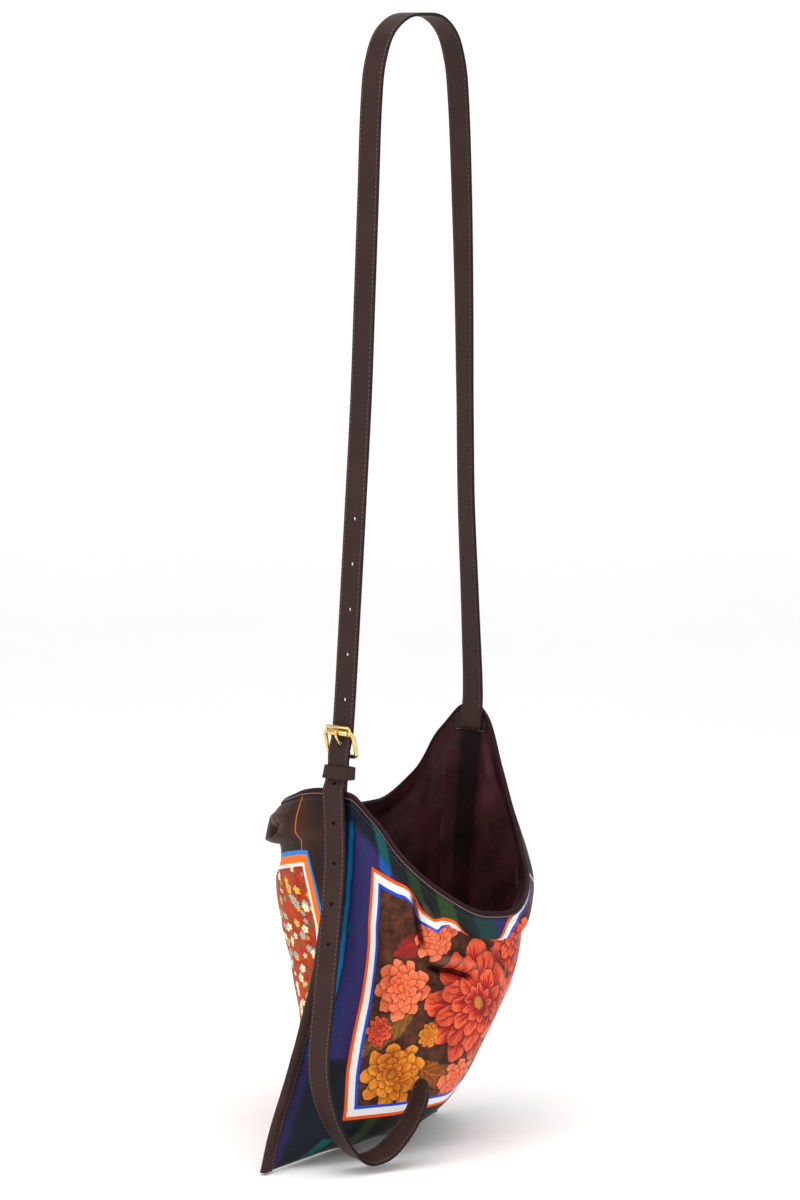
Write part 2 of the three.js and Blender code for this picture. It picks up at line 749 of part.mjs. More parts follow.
function buckleFrameMesh() {
  const down = HEEL.clone().sub(TOE);
  const long = down.length();
  down.normalize();
  const points = [];
  const corners = [
    { down: FRAME_CORNER, y: FRAME_CORNER - FRAME_HALF, from: 270 },
    { down: FRAME_CORNER, y: FRAME_HALF - FRAME_CORNER, from: 180 },
    { down: long - FRAME_CORNER, y: FRAME_HALF - FRAME_CORNER, from: 90 },
    { down: long - FRAME_CORNER, y: FRAME_CORNER - FRAME_HALF, from: 0 },
  ];
  for (const corner of corners) {
    for (let i = 0; i <= 4; i += 1) {
      const angle = THREE.MathUtils.degToRad(corner.from - 22.5 * i);
      const along = corner.down + FRAME_CORNER * Math.cos(angle);
      const y = corner.y + FRAME_CORNER * Math.sin(angle);
      points.push(TOE.clone().addScaledVector(down, along).setY(y));
    }
  }
  const ring = rodMesh('buckle_frame', points, FRAME_WIRE, 8, true, GOLD);
  const left = TOP_BAR.map((row) => TOE.clone().addScaledVector(down, -row.up).setY(-row.y));
  const right = left.map((point) => point.clone().setY(-point.y)).reverse();
  const bar = rodMesh('top_bar', [...left, ...right], TOP_BAR_WIRE, 8, false, GOLD, true);
  return joinMesh(ring, bar);
}

function rollerMesh() {
  const bore = FRAME_WIRE + GAP;
  const half = ROLLER_LONG / 2;
  const profile = [
    new THREE.Vector2(bore, -half),
    new THREE.Vector2(ROLLER_RADIUS - 0.2, -half),
    new THREE.Vector2(ROLLER_RADIUS, -half + 0.3),
    new THREE.Vector2(ROLLER_RADIUS, half - 0.3),
    new THREE.Vector2(ROLLER_RADIUS - 0.2, half),
    new THREE.Vector2(bore, half),
    new THREE.Vector2(bore, -half),
  ];
  const roller = new THREE.Mesh(new THREE.LatheGeometry(profile, 18), GOLD);
  roller.name = 'buckle_roller';
  roller.position.copy(TOE);
  return roller;
}

function prongPoints() {
  const turn = FRAME_WIRE + GAP + PRONG_WIRE;
  const points = [];
  const steps = 9;
  for (let i = 0; i <= steps; i += 1) {
    const angle = THREE.MathUtils.degToRad(-PRONG_TURN + (PRONG_TURN * i) / steps + 15);
    points.push(shortPoint(-turn * Math.cos(angle), -turn * Math.sin(angle), 0));
  }
  const toeDown = TOE.clone().sub(HEEL).dot(shortDown);
  const toeOut = TOE.clone().sub(HEEL).dot(shortOut);
  const rest = toeOut + ROLLER_RADIUS + GAP + PRONG_WIRE;
  for (const row of PRONG_RISE) {
    points.push(shortPoint(toeDown * row.share, rest * row.out, 0));
  }
  return points;
}

function shortStrapMesh() {
  const half = SHORT_THICK / 2;
  const outline = new THREE.Shape();
  const begin = Math.asin(half / SHORT_LOOP);
  outline.absarc(0, 0, SHORT_LOOP, begin, 2 * Math.PI - begin, false);
  outline.lineTo(SHORT_LONG, -half);
  outline.lineTo(SHORT_LONG, half);
  outline.closePath();
  const bore = new THREE.Path();
  bore.absarc(0, 0, FRAME_WIRE + GAP, 0, 2 * Math.PI, true);
  outline.holes.push(bore);
  const geometry = new THREE.ExtrudeGeometry(outline, {
    depth: SHORT_WIDE,
    bevelEnabled: false,
    curveSegments: 16,
  });
  geometry.translate(0, 0, -SHORT_WIDE / 2);
  const strap = new THREE.Mesh(geometry, LEATHER);
  strap.name = 'buckle_strap';
  const sideways = shortDown.clone().cross(shortOut);
  strap.applyMatrix4(new THREE.Matrix4().makeBasis(shortDown, shortOut, sideways).setPosition(HEEL));
  const slot = new THREE.Mesh(new THREE.BoxGeometry(12, PRONG_SLOT, 12));
  slot.position.copy(shortPoint(-1.2, 0, 0));
  return cutMesh(strap, [slot]);
}

// One rounded rectangle of the keeper: its half width, inner and outer reach, distance down
function keeperRing(halfWide, low, high, radius, down) {
  const corners = [
    { y: radius - halfWide, out: low + radius, from: 180 },
    { y: halfWide - radius, out: low + radius, from: 270 },
    { y: halfWide - radius, out: high - radius, from: 0 },
    { y: radius - halfWide, out: high - radius, from: 90 },
  ];
  const ring = [];
  for (const corner of corners) {
    for (let i = 0; i <= 3; i += 1) {
      const angle = THREE.MathUtils.degToRad(corner.from + 30 * i);
      const out = corner.out + radius * Math.sin(angle);
      ring.push(shortPoint(down, out, corner.y + radius * Math.cos(angle)));
    }
  }
  return ring;
}

function keeperMesh() {
  const half = STRAP_WIDE / 2 + 2 * GAP;
  const low = -SHORT_THICK / 2 - GAP;
  const wall = KEEPER_WALL;
  const outer = [];
  const inner = [];
  for (const row of KEEPER) {
    outer.push(keeperRing(half + wall, low - wall, row.reach + wall, KEEPER_CORNER + wall, row.down));
    inner.push(keeperRing(half, low, row.reach, KEEPER_CORNER, row.down));
  }
  const faces = [];
  addGrid(faces, outer, false, true);
  addGrid(faces, inner, true, true);
  const last = KEEPER.length - 1;
  addGrid(faces, [inner[0], outer[0]], false, true);
  addGrid(faces, [outer[last], inner[last]], false, true);
  return meshOf('strap_keeper', faces, LEATHER);
}

// Assembly
const prong = rodMesh('buckle_prong', prongPoints(), PRONG_WIRE, 8, false, GOLD);
const prongClear = rodMesh('prong_clear', prongPoints(), PRONG_WIRE + GAP + 0.1, 8, false, GOLD);
const prongHole = lengthNear(shortPoint(PRONG_HOLE.down, PRONG_HOLE.out, 0));
const cutters = [prongClear];
for (let n = -HOLES_ABOVE_PRONG; n <= HOLES_BELOW_PRONG; n += 1) {
  if (n !== 0) {
    cutters.push(holeCutter(prongHole + n * (n < 0 ? HOLE_PITCH : LOW_HOLE_PITCH)));
  }
}

const bag = new THREE.Group();
bag.add(
  panelMesh(FRONT, FRONT_CLOTH),
  panelMesh(BACK, BACK_CLOTH),
  liningMesh(),
  sideBindingMesh('side_binding_near', -1, 0, 0.95),
  sideBindingMesh('side_binding_far', 1, 0, 0.95),
  rimEdgeMesh(),
  cutMesh(strapMesh(), cutters),
  buckleFrameMesh(),
  rollerMesh(),
  prong,
  shortStrapMesh(),
  keeperMesh(),
);

export default bag;
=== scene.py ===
import math

import bpy
import numpy as np
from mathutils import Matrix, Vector


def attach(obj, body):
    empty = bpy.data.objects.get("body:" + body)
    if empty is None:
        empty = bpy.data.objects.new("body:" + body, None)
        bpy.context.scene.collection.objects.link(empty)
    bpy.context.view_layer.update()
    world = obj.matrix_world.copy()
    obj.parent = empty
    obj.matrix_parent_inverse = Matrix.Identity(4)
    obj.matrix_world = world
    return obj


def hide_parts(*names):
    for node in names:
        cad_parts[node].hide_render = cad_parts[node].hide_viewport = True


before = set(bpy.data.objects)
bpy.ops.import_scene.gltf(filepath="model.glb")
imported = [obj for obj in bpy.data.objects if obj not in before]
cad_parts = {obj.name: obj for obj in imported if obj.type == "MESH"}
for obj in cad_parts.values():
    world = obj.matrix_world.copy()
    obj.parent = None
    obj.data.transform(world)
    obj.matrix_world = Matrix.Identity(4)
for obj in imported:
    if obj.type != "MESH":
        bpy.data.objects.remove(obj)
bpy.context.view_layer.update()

MM = 0.001
UV = 0.01  # a UV map holds millimetres times this

# Sizes and tables of the part, in millimetres; s runs from the near seam, -1, to the far seam, 1
BOTTOM_Z = -850.0
SEAM_HALF = 1.35
GAP = 0.3
LEVELS = [  # t, near, far, front, back, round, fin
    (0.0, -178, 15, 0, 0, 0.0, 8), (0.1, -168, 34, 47, 12, 0.15, 8), (0.22, -151, 49, 63, 25, 0.35, 8),
    (0.36, -133, 55, 75, 44, 0.6, 8), (0.54, -114, 59, 87, 79, 0.85, 8),
    (0.78, -103.5, 68, 98, 101, 1.0, 4.5), (1.0, -99.5, 77.2, 98, 99, 1.0, 0.8)]
RIM = [  # s, front, back
    (-1, -576, -576), (-0.92, -577.5, -576.5), (-0.8, -594, -580), (-0.65, -620, -588), (-0.45, -647, -597),
    (-0.2, -667, -605), (0, -670, -612), (0.2, -662, -618), (0.45, -640, -615), (0.65, -613, -592.5),
    (0.8, -581, -559), (0.92, -545, -537), (1, -533.5, -533.5)]
CREASE = [  # along, out, down; the cloth runs back up under the band of the rim
    (0, 0.5, 0), (6, 2.0, 5.8), (12, 3.8, 11.5), (16, 4.6, 15.3), (18.5, 4.4, 17.4), (20.3, 3.0, 18.0),
    (23.5, 0.2, 16.6), (27, -2.8, 15.6), (29.5, -4.6, 17.0), (33, -5.4, 20.2), (42, -4.4, 30), (58, -1.5, 49),
    (80, 0, 76), (110, 0, 110)]
ROLL = [  # along, out, down; the back hangs over below its rim
    (0, 0, 0), (10, 6, 8), (20, 11, 19), (28, 12, 29), (34, 7, 32), (41, 0, 33), (54, -2, 46), (66, 1, 60),
    (90, 0, 90)]
FOLD_SHARE = [  # s, front, back
    (-1, 0, 0), (-0.85, 0, 0.35), (-0.55, 0.04, 0.9), (-0.43, 0.3, 0.94), (-0.34, 0.85, 0.98), (-0.2, 1, 1),
    (0.15, 1, 0.75), (0.5, 0.55, 0.15), (0.8, 0.2, 0), (1, 0, 0)]
LEAN = [  # s, front, back
    (-1, 0, 0), (-0.4, 0, 0.5), (0, 0, 2), (0.3, 1, 3), (0.5, 5, 3.5), (0.66, 5.2, 2.5), (0.8, 3.6, 1.2),
    (0.92, 1.2, 0.3), (1, 0, 0)]
LEAN_ZONE = 18.0
LEAN_SWELL = 0.4
DRAPES = {  # s, spread, out, low, high
    "front": [(-0.77, 0.09, -4, 0.25, 0.98), (-0.6, 0.1, 4, 0.3, 0.95), (0.3, 0.2, -3, 0.05, 0.55)],
    "back": [(0.58, 0.1, 2, 0.35, 0.98), (0.83, 0.07, -7, 0.35, 0.98)]}
STRAP_PATH = [  # x, y, z, twist
    (69.6, 0, -552, 0), (70.2, 0, -541, 0), (71.8, 0, -526, -3), (67.8, 0, -450, -10), (62.6, 0, -370, -14),
    (60.8, 0, -293, -14), (59.2, 0, -216, -9), (56.3, 0, -139, -3), (51.5, 0, -63, 0), (47.5, 0, -36, 0),
    (37.5, 0, -13, 0), (20.5, 0, -0.8, 0), (0, 0, 1.3, 0), (-21, 0, -0.8, 0), (-40, 0, -13, 0),
    (-51, 0, -36, 0), (-55, 0, -63, 0), (-59.2, 0, -135, 0), (-63.5, 0, -209, 0), (-67.9, 0, -283, 0),
    (-74.2, 0, -357, 0), (-80.8, 0, -432, 0), (-87.4, 0, -505, 0), (-89.4, 0, -524, 0), (-90.4, 0, -532, 0),
    (-95.4, 0, -548.5, 0), (-95.6, 0, -556.4, 0), (-98.3, 0, -566.5, 0), (-102.3, -0.5, -574, 0),
    (-106, -4, -588, 0), (-113.6, -11, -624, 0), (-124.7, -16, -667, 0), (-141.9, -23, -724, 0),
    (-155.3, -29, -766, 0), (-158, -33, -787, 0), (-154.8, -39, -810, 6), (-146, -46, -830, 12),
    (-135, -53, -842, 14), (-120, -60, -840.5, 8), (-105, -68, -826, -4), (-95, -74, -807, -12),
    (-91.5, -78, -786, -16)]
STRAP_HALF, STRAP_THICK, STRAP_TIP = 10.0, 2.6, 13.0
STITCH_INSET = 7.9  # from the middle of the strap to its stitch line
HOLE_RADIUS, HOLE_PITCH, LOW_HOLE_PITCH = 1.5, 34.0, 30.2
PRONG_SLOT = (1.5, 2.3)  # half width, half length
HEEL = np.array([-90.1, 0, -548.8])
TOE = np.array([-95.3, 0, -530.8])
FRAME_HALF, FRAME_WIRE, FRAME_CORNER = 13.4, 1.6, 3.6
ROLLER_RADIUS, ROLLER_LONG = 2.6, 18.6
PRONG_WIRE, PRONG_TURN = 1.1, 220
TOP_BAR_WIRE = 1.15
TOP_BAR = [  # y, up
    (11.2, -0.3), (11.15, 1.0), (11.0, 2.0), (10.75, 3.0), (10.35, 3.75), (9.9, 4.2), (9.4, 4.4)]
SHORT_LEAN, SHORT_WIDE, SHORT_THICK, SHORT_LOOP, SHORT_LONG = 0.098, 10.0, 3.2, 3.6, 42.0
KEEPER = [(8.0, 7.4), (17.8, 9.7)]  # down, reach
KEEPER_WALL, KEEPER_CORNER = 1.1, 1.4

# Sizes of the dressed pieces
CLOTH_THICK = 1.0
BODY_AXIS, MOUTH_AXIS = -40.0, -12.0  # x of the upright lines that the cloth and the rim face away from
BROAD_FOLD = 6.0  # the lining follows front folds of this half width or more
FRAME_LOW, BACK_TOP, HIDDEN_TOP = 33.0, 49.0, 36.0  # printed frames above the foot and below the rim
TURN_S, TURN_SPREAD = 0.4, 0.05  # where the front frame's top leaves the photo's view
TOPSTITCH_DOWN = 6.5
FLOOR_Z = -852.0

FOLDS = [  # side, from s and v, to s and v, half width, push outwards
    ("front", -0.588, 0.94, -0.50, 0.74, 2.3, -7.0), ("front", -0.545, 0.95, -0.45, 0.75, 4.5, 5.0),
    ("front", -0.50, 0.709, -0.20, 0.687, 2.6, -7.0), ("front", -0.52, 0.744, -0.16, 0.722, 4.6, 6.2),
    ("front", -0.48, 0.668, -0.20, 0.646, 5.5, 2.2), ("front", -0.10, 0.80, 0.16, 0.62, 5.0, -3.2),
    ("front", -0.05, 0.86, 0.25, 0.72, 6.0, 1.6), ("front", -0.30, 0.62, 0.10, 0.50, 8.0, 2.4),
    ("front", -0.72, 0.62, -0.45, 0.34, 9.0, 1.3), ("front", -0.86, 0.72, -0.70, 0.25, 5.0, 1.2),
    ("front", -0.20, 0.30, 0.20, 0.16, 8.0, 1.2), ("back", -0.42, 0.91, -0.62, 0.922, 4.2, -11.5),
    ("back", -0.36, 0.947, -0.74, 0.945, 3.0, 3.2), ("back", -0.80, 0.74, -0.45, 0.58, 7.0, 1.6),
    ("back", -0.70, 0.64, -0.30, 0.42, 9.0, -1.6), ("back", -0.10, 0.80, 0.20, 0.48, 10.0, 2.0),
    ("back", 0.10, 0.74, 0.42, 0.36, 8.0, -1.8), ("back", -0.35, 0.45, 0.05, 0.20, 9.0, 1.4)]
LINING_FOLDS = [  # side, s at the rim, drift of s down the cloth, spread, push inwards, lowest share
    ("back", 0.895, 0.0, 0.045, 15.0, 0.1), ("back", 0.6, 0.05, 0.09, 3.0, 0.3),
    ("back", 0.3, 0.1, 0.08, 3.0, 0.4), ("back", -0.05, 0.1, 0.07, 3.5, 0.3),
    ("front", 0.5, -0.1, 0.07, 4.0, 0.3), ("front", 0.88, 0.0, 0.05, 7.0, 0.1)]


# Curves and grids
def smooth(x, low, high):
    t = np.clip((np.asarray(x, float) - low) / (high - low), 0, 1)
    return t * t * (3 - 2 * t)


def unit(a):
    return a / np.maximum(np.linalg.norm(a, axis=-1, keepdims=True), 1e-9)


def running(points):
    """Length along a row of points, from 0."""
    return np.concatenate([[0], np.cumsum(np.linalg.norm(np.diff(points, axis=0), axis=1))])


def between(where, length, data):
    """Points of a row at the lengths given."""
    return np.stack([np.interp(where, length, data[:, k]) for k in range(3)], -1)


def mirrored(points):
    return [(x, -y) for x, y in reversed(points)]


def curve(rows, column=1):
    """A smooth curve through two columns of a table that never overshoots between rows."""
    xs = np.array([r[0] for r in rows], float)
    ys = np.array([r[column] for r in rows], float)
    grade = np.diff(ys) / np.diff(xs)
    before = np.concatenate([grade[:1], grade])
    after = np.concatenate([grade, grade[-1:]])
    total = np.where(before + after == 0, 1, before + after)
    slope = np.where(before * after <= 0, 0, 2 * before * after / total)

    def at(x):
        x = np.asarray(x, float)
        i = np.clip(np.searchsorted(xs, x) - 1, 0, len(xs) - 2)
        h = xs[i + 1] - xs[i]
        f = np.clip((x - xs[i]) / h, 0, 1)
        g = 1 - f
        start = ys[i] * (1 + 2 * f) + slope[i] * h * f
        end = ys[i + 1] * (1 + 2 * g) - slope[i + 1] * h * g
        return g * g * start + f * f * end

    return at


def normals(grid, axis_x):
    """Normals of a grid of points, turned away from an upright axis."""
    outward = grid - np.array([axis_x, 0, 0])
    outward[..., 2] = 0
    n = unit(np.cross(np.gradient(grid, axis=1), np.gradient(grid, axis=0)))
    return n * np.sign(np.sum(n * outward, -1, keepdims=True) + 1e-9)


def surface(grid):
    """Area of a grid of points, in square metres."""
    corner = grid[:-1, :-1]
    return np.linalg.norm(np.cross(grid[1:, :-1] - corner, grid[:-1, 1:] - corner), axis=-1).sum() * MM**2


def turn_out(verts, faces):
    """Faces of a closed mesh turned so that its volume is positive."""
    total = 0.0
    for f in faces:
        for i in range(1, len(f) - 1):
            total += np.dot(verts[f[0]], np.cross(verts[f[i]], verts[f[i + 1]]))
    return faces if total > 0 else [tuple(reversed(f)) for f in faces]


def grid_faces(rows, cols, start=0, closed=False, flip=False):
    faces = []
    for i in range(rows - 1):
        for j in range(cols if closed else cols - 1):
            low, high, k = start + i * cols, start + (i + 1) * cols, (j + 1) % cols
            face = (low + j, low + k, high + k, high + j)
            faces.append((face[0], face[3], face[2], face[1]) if flip else face)
    return faces


def tube_faces(rows, cols, start=0):
    """Faces of a row of rings with both ends capped."""
    last = start + (rows - 1) * cols
    ends = [tuple(reversed(range(start, start + cols))), tuple(range(last, last + cols))]
    return grid_faces(rows, cols, start, closed=True) + ends


def wall(outer, inner):
    """Verts and faces of a wall between two grids of the same size."""
    rows, cols = outer.shape[:2]
    verts = np.concatenate([outer.reshape(-1, 3), inner.reshape(-1, 3)])
    n = rows * cols
    faces = grid_faces(rows, cols) + grid_faces(rows, cols, n, flip=True)
    edge = [(0, j) for j in range(cols)] + [(i, cols - 1) for i in range(1, rows)]
    edge += [(rows - 1, j) for j in range(cols - 2, -1, -1)] + [(i, 0) for i in range(rows - 2, 0, -1)]
    edge = [i * cols + j for i, j in edge]
    for a, b in zip(edge, edge[1:] + edge[:1]):
        faces.append((b, a, n + a, n + b))
    return verts, turn_out(verts, faces)


def sweep(points, frames, profile, closed_path=False):
    """Verts and faces of a closed profile carried along points; frames give two directions at each."""
    a, b = frames
    profile = np.broadcast_to(profile, (len(points), *np.shape(profile)[-2:]))
    verts = points[:, None] + profile[..., :1] * a[:, None] + profile[..., 1:2] * b[:, None]
    rows, cols = verts.shape[:2]
    grid = verts.reshape(-1, 3)
    if not closed_path:
        return grid, tube_faces(rows, cols)
    last = (rows - 1) * cols
    seam = [(last + j, last + (j + 1) % cols, (j + 1) % cols, j) for j in range(cols)]
    return grid, grid_faces(rows, cols, closed=True) + seam


def make(name, verts, faces, material, uvs=None):
    mesh = bpy.data.meshes.new(name)
    mesh.from_pydata((np.asarray(verts, float) * MM).tolist(), [], [tuple(int(i) for i in f) for f in faces])
    loops = np.empty(len(mesh.loops), np.int32)
    mesh.loops.foreach_get("vertex_index", loops)
    for key, values in (uvs or {}).items():
        layer = mesh.uv_layers.new(name=key)
        layer.data.foreach_set("uv", (np.asarray(values, float)[loops] * UV).astype(np.float32).ravel())
    mesh.polygons.foreach_set("use_smooth", np.ones(len(mesh.polygons), bool))
    mesh.materials.append(material)
    mesh.validate()
    obj = bpy.data.objects.new(name, mesh)
    bpy.context.scene.collection.objects.link(obj)
    return obj


def add(name, verts, faces, material, slot, *nodes, uvs=None):
    """A piece of the bag, which rides on the root and stands for the nodes named."""
    obj = make(name, verts, faces, material, uvs)
    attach(obj, "root")
    if nodes:
        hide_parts(*nodes)
    return obj


# Form of the cloth
LEVEL = {name: curve(LEVELS, n) for n, name in enumerate(("near", "far", "front", "back", "round", "fin"), 1)}
SIDES = {
    side: dict(sign=sign, rim=curve(RIM, n), share=curve(FOLD_SHARE, n), lean=curve(LEAN, n),
               out=curve(fold, 1), down=curve(fold, 2), end=fold[-1][0])
    for n, (side, sign, fold) in enumerate((("front", -1, CREASE), ("back", 1, ROLL)), 1)}


def plan_at(side, s, t):
    """Plan of a panel at a level: x, y and the outward direction."""
    sign = SIDES[side]["sign"]
    near = LEVEL["near"](t)
    half = (LEVEL["far"](t) - near) / 2
    k = LEVEL["round"](t)
    bulge = LEVEL[side](t)
    turn = np.pi * s / 2
    x = near + half * (1 + (1 - k) * s + k * np.sin(turn))
    deep = bulge * ((1 - k) * (1 - s * s) + k * np.cos(turn))
    dx = half * (1 - k + k * np.pi / 2 * np.cos(turn))
    dy = sign * bulge * (-2 * s * (1 - k) - k * np.pi / 2 * np.sin(turn))
    size = np.hypot(dx, dy)
    return x, sign * (SEAM_HALF + deep), -sign * dy / size, sign * dx / size


def cloth_base(side, s, v, folded=True):
    """Outer face of a panel, as in the solids, or hanging free of its fold."""
    form = SIDES[side]
    rim = form["rim"](s)
    height = rim - BOTTOM_Z
    along = (1 - v) * height
    share = np.where(along < form["end"], form["share"](s), 0) * folded
    down = along + share * (form["down"](along) - along)
    t = 1 - down / height
    x, y, nx, ny = plan_at(side, s, t)
    over = smooth(along / LEAN_ZONE, 0, 1)
    lean = 1 - over - LEAN_SWELL * over * (1 - smooth(along / LEAN_ZONE, 1, 3))
    out = share * form["out"](along) - form["lean"](s) * lean
    for s0, spread, push, low, high in DRAPES[side]:
        hang = push * np.exp(-(((s - s0) / spread) ** 2)) * smooth(t, low, low + 0.25)
        out = out + hang * (1 - 0.5 * smooth(t, high - 0.1, high + 0.1)) * (1 - smooth(np.abs(s), 0.78, 0.94))
    return np.stack([x + nx * out, y + ny * out, rim - down], -1)


def ripple(side, s, v, narrowest=0.0):
    """Folds of at least the half width given and slack of the cloth, outwards from the base form."""
    wide_mm, high_mm = 105, 230
    x, y = s * wide_mm, v * high_mm
    out = np.zeros_like(x)
    for name, s0, v0, s1, v1, wide, push in FOLDS:
        if name != side or wide < narrowest:
            continue
        ax, ay, bx, by = s0 * wide_mm, v0 * high_mm, s1 * wide_mm, v1 * high_mm
        f = ((x - ax) * (bx - ax) + (y - ay) * (by - ay)) / ((bx - ax) ** 2 + (by - ay) ** 2)
        f = np.clip(f, 0, 1)
        away = np.hypot(x - ax - f * (bx - ax), y - ay - f * (by - ay))
        ends = 0.25 + 0.75 * smooth(f, 0, 0.25) * (1 - smooth(f, 0.75, 1))
        out += push * ends * np.exp(-((away / wide) ** 2))
    phase = 0.0 if side == "front" else 1.9
    low = np.exp(-((v / 0.16) ** 2))
    out += 1.3 * low * np.sin(13.0 * s + phase) * np.cos(5.0 * s + 0.6)
    out += 0.35 * np.sin(0.11 * x + 0.05 * y + phase) * np.sin(0.047 * y - 0.03 * x + 0.7)
    out += 0.22 * np.sin(0.21 * x - 0.12 * y + 2.1 + phase) * np.sin(0.17 * y + 0.4)
    return out * (1 - smooth(np.abs(s), 0.86, 0.97)) * (1 - smooth(v, 0.9, 0.985)) * smooth(v, 0.0, 0.04)


def cloth_grid(side, s, v, folded=True):
    """Points of a panel with its fine folds, and their s and v."""
    ss, vv = np.meshgrid(s, v)
    base = cloth_base(side, ss, vv, folded)
    fine = ripple(side, ss, vv, 0.0 if folded else BROAD_FOLD)
    return base + normals(base, BODY_AXIS) * fine[..., None], ss, vv


def seam_spread(count, share):
    """Values of s from seam to seam, closer together near the seams."""
    return np.sin(np.linspace(-1, 1, count) * np.pi / 2 * share) / math.sin(np.pi / 2 * share)


# Materials
def rgb(*levels):
    """A linear colour from levels of 0 to 255."""
    shares = [c / 255 for c in levels]
    return (*(c / 12.92 if c <= 0.04045 else ((c + 0.055) / 1.055) ** 2.4 for c in shares), 1.0)


class Value:
    """A socket of a node material that takes plain arithmetic."""

    def __init__(self, shade, socket):
        self.shade = shade
        self.socket = socket

    def of(self, op):
        return self.shade.math(op, self)

    def __add__(self, other):
        return self.shade.math("ADD", self, other)

    def __sub__(self, other):
        return self.shade.math("SUBTRACT", self, other)

    def __rsub__(self, other):
        return self.shade.math("SUBTRACT", other, self)

    def __mul__(self, other):
        return self.shade.math("MULTIPLY", self, other)

    def __truediv__(self, other):
        return self.shade.math("DIVIDE", self, other)

    def __abs__(self):
        return self.of("ABSOLUTE")

    __radd__ = __add__
    __rmul__ = __mul__


class Shade:
    """Builds one node material."""

    def __init__(self, name):
        self.material = bpy.data.materials.new(name)
        self.material.use_nodes = True
        self.tree = self.material.node_tree
        self.tree.nodes.clear()
        self.surface = self.node("ShaderNodeBsdfPrincipled")
        self.put(self.node("ShaderNodeOutputMaterial").inputs[0], self.out(self.surface))

    def node(self, kind, inputs=None, **settings):
        n = self.tree.nodes.new(kind)
        for key, value in settings.items():
            setattr(n, key, value)
        for key, value in (inputs or {}).items():
            self.put(n.inputs[key], value)
        return n

    def put(self, socket, value):
        if isinstance(value, Value):
            self.tree.links.new(value.socket, socket)
        else:
            socket.default_value = value

    def out(self, node, key=0):
        return Value(self, node.outputs[key])

    def math(self, op, a, b=0.0):
        return self.out(self.node("ShaderNodeMath", {0: a, 1: b}, operation=op))

    def least(self, first, *others):
        for other in others:
            first = self.math("MINIMUM", first, other)
        return first

    def step(self, x, low, high):
        values = {0: x, 1: low, 2: high, 3: 0.0, 4: 1.0}
        return self.out(self.node("ShaderNodeMapRange", values, interpolation_type="SMOOTHSTEP"))

    def mix(self, share, a, b, blend="MIX"):
        values = {0: share, 6: a, 7: b}
        return self.out(self.node("ShaderNodeMix", values, data_type="RGBA", blend_type=blend), 2)

    def ramp(self, x, stops, mode="LINEAR"):
        n = self.node("ShaderNodeValToRGB", {0: x})
        n.color_ramp.interpolation = mode
        while len(n.color_ramp.elements) < len(stops):
            n.color_ramp.elements.new(0.5)
        for e, (place, colour) in zip(n.color_ramp.elements, stops):
            e.position = place
            e.color = colour
        return self.out(n)

    def bands(self, x, low, high, rows):
        """Colours along x from low to high: rows of start, end and colour, blurred where they don't meet."""
        stops = {((place - low) / (high - low), tone) for start, end, tone in rows for place in (start, end)}
        return self.ramp((x - low) / (high - low), sorted(stops))

    def split(self, vector):
        n = self.node("ShaderNodeSeparateXYZ", {0: vector})
        return [self.out(n, k) for k in range(3)]

    def vec(self, x, y, z=0.0):
        return self.out(self.node("ShaderNodeCombineXYZ", {0: x, 1: y, 2: z}))

    def uv(self, name):
        """The two numbers of a UV map, in millimetres."""
        x, y, _ = self.split(self.out(self.node("ShaderNodeUVMap", uv_map=name)))
        return x * (1 / UV), y * (1 / UV)

    def place(self):
        """Object coordinates in millimetres."""
        where = self.out(self.node("ShaderNodeTexCoord"), "Object")
        return self.out(self.node("ShaderNodeVectorMath", {0: where, 3: 1 / MM}, operation="SCALE"))

    def noise(self, vector, scale, detail=2.0, rough=0.5, bend=0.0):
        values = {"Vector": vector, "Scale": scale, "Detail": detail, "Roughness": rough, "Distortion": bend}
        return self.out(self.node("ShaderNodeTexNoise", values))

    def cells(self, vector, scale, feature="F1"):
        return self.node("ShaderNodeTexVoronoi", feature=feature, inputs={"Vector": vector, "Scale": scale})

    def bump(self, height, strength, distance, after=None):
        values = {"Strength": strength, "Distance": distance, "Height": height}
        if after is not None:
            values["Normal"] = after
        return self.out(self.node("ShaderNodeBump", values))

    def finish(self, **sockets):
        for key, value in sockets.items():
            self.put(self.surface.inputs[key.replace("_", " ")], value)
        return self.material


def leather(name, base, dark, uv=None, paint=None):
    """Fine grained leather; with a UV map the edges beyond paint millimetres are painted nearly black."""
    m = Shade(name)
    place = m.place()
    grain = m.out(m.cells(place, 1.35, "DISTANCE_TO_EDGE"))
    fine = m.noise(place, 2.6, 3.0, 0.6)
    broad = m.noise(place, 0.035, 3.0, 0.55)
    colour = m.mix(m.step(broad, 0.3, 0.72), dark, base)
    colour = m.mix(m.step(grain, 0.0, 0.12) * 0.35, m.mix(0.45, colour, dark), colour)
    colour = m.mix(fine * 0.25, colour, m.mix(0.5, base, rgb(120, 92, 86)))
    if uv:
        across, _ = m.uv(uv)
        colour = m.mix(m.step(abs(across), paint - 0.25, paint + 0.15), colour, rgb(22, 15, 15))
    height = m.step(grain, 0.0, 0.16) * 0.7 + fine * 0.5
    shine = m.noise(place, 0.4, 3.0) * 0.2 + 0.4
    normal = m.bump(m.noise(place, 0.12, 2.0), 0.15, 0.0006, m.bump(height, 0.3, 0.00012))
    return m.finish(Base_Color=colour, Roughness=shine, Normal=normal, Specular_IOR_Level=0.16)


def weave_height(u, w, pitch):
    """Fine twill: slanted ribs and threads."""
    rib = ((u + w) * (2 * math.pi / pitch)).of("SINE")
    thread = ((u - w * 2.6) * (2 * math.pi / (pitch * 0.8))).of("SINE")
    return rib * 0.6 + thread * 0.4


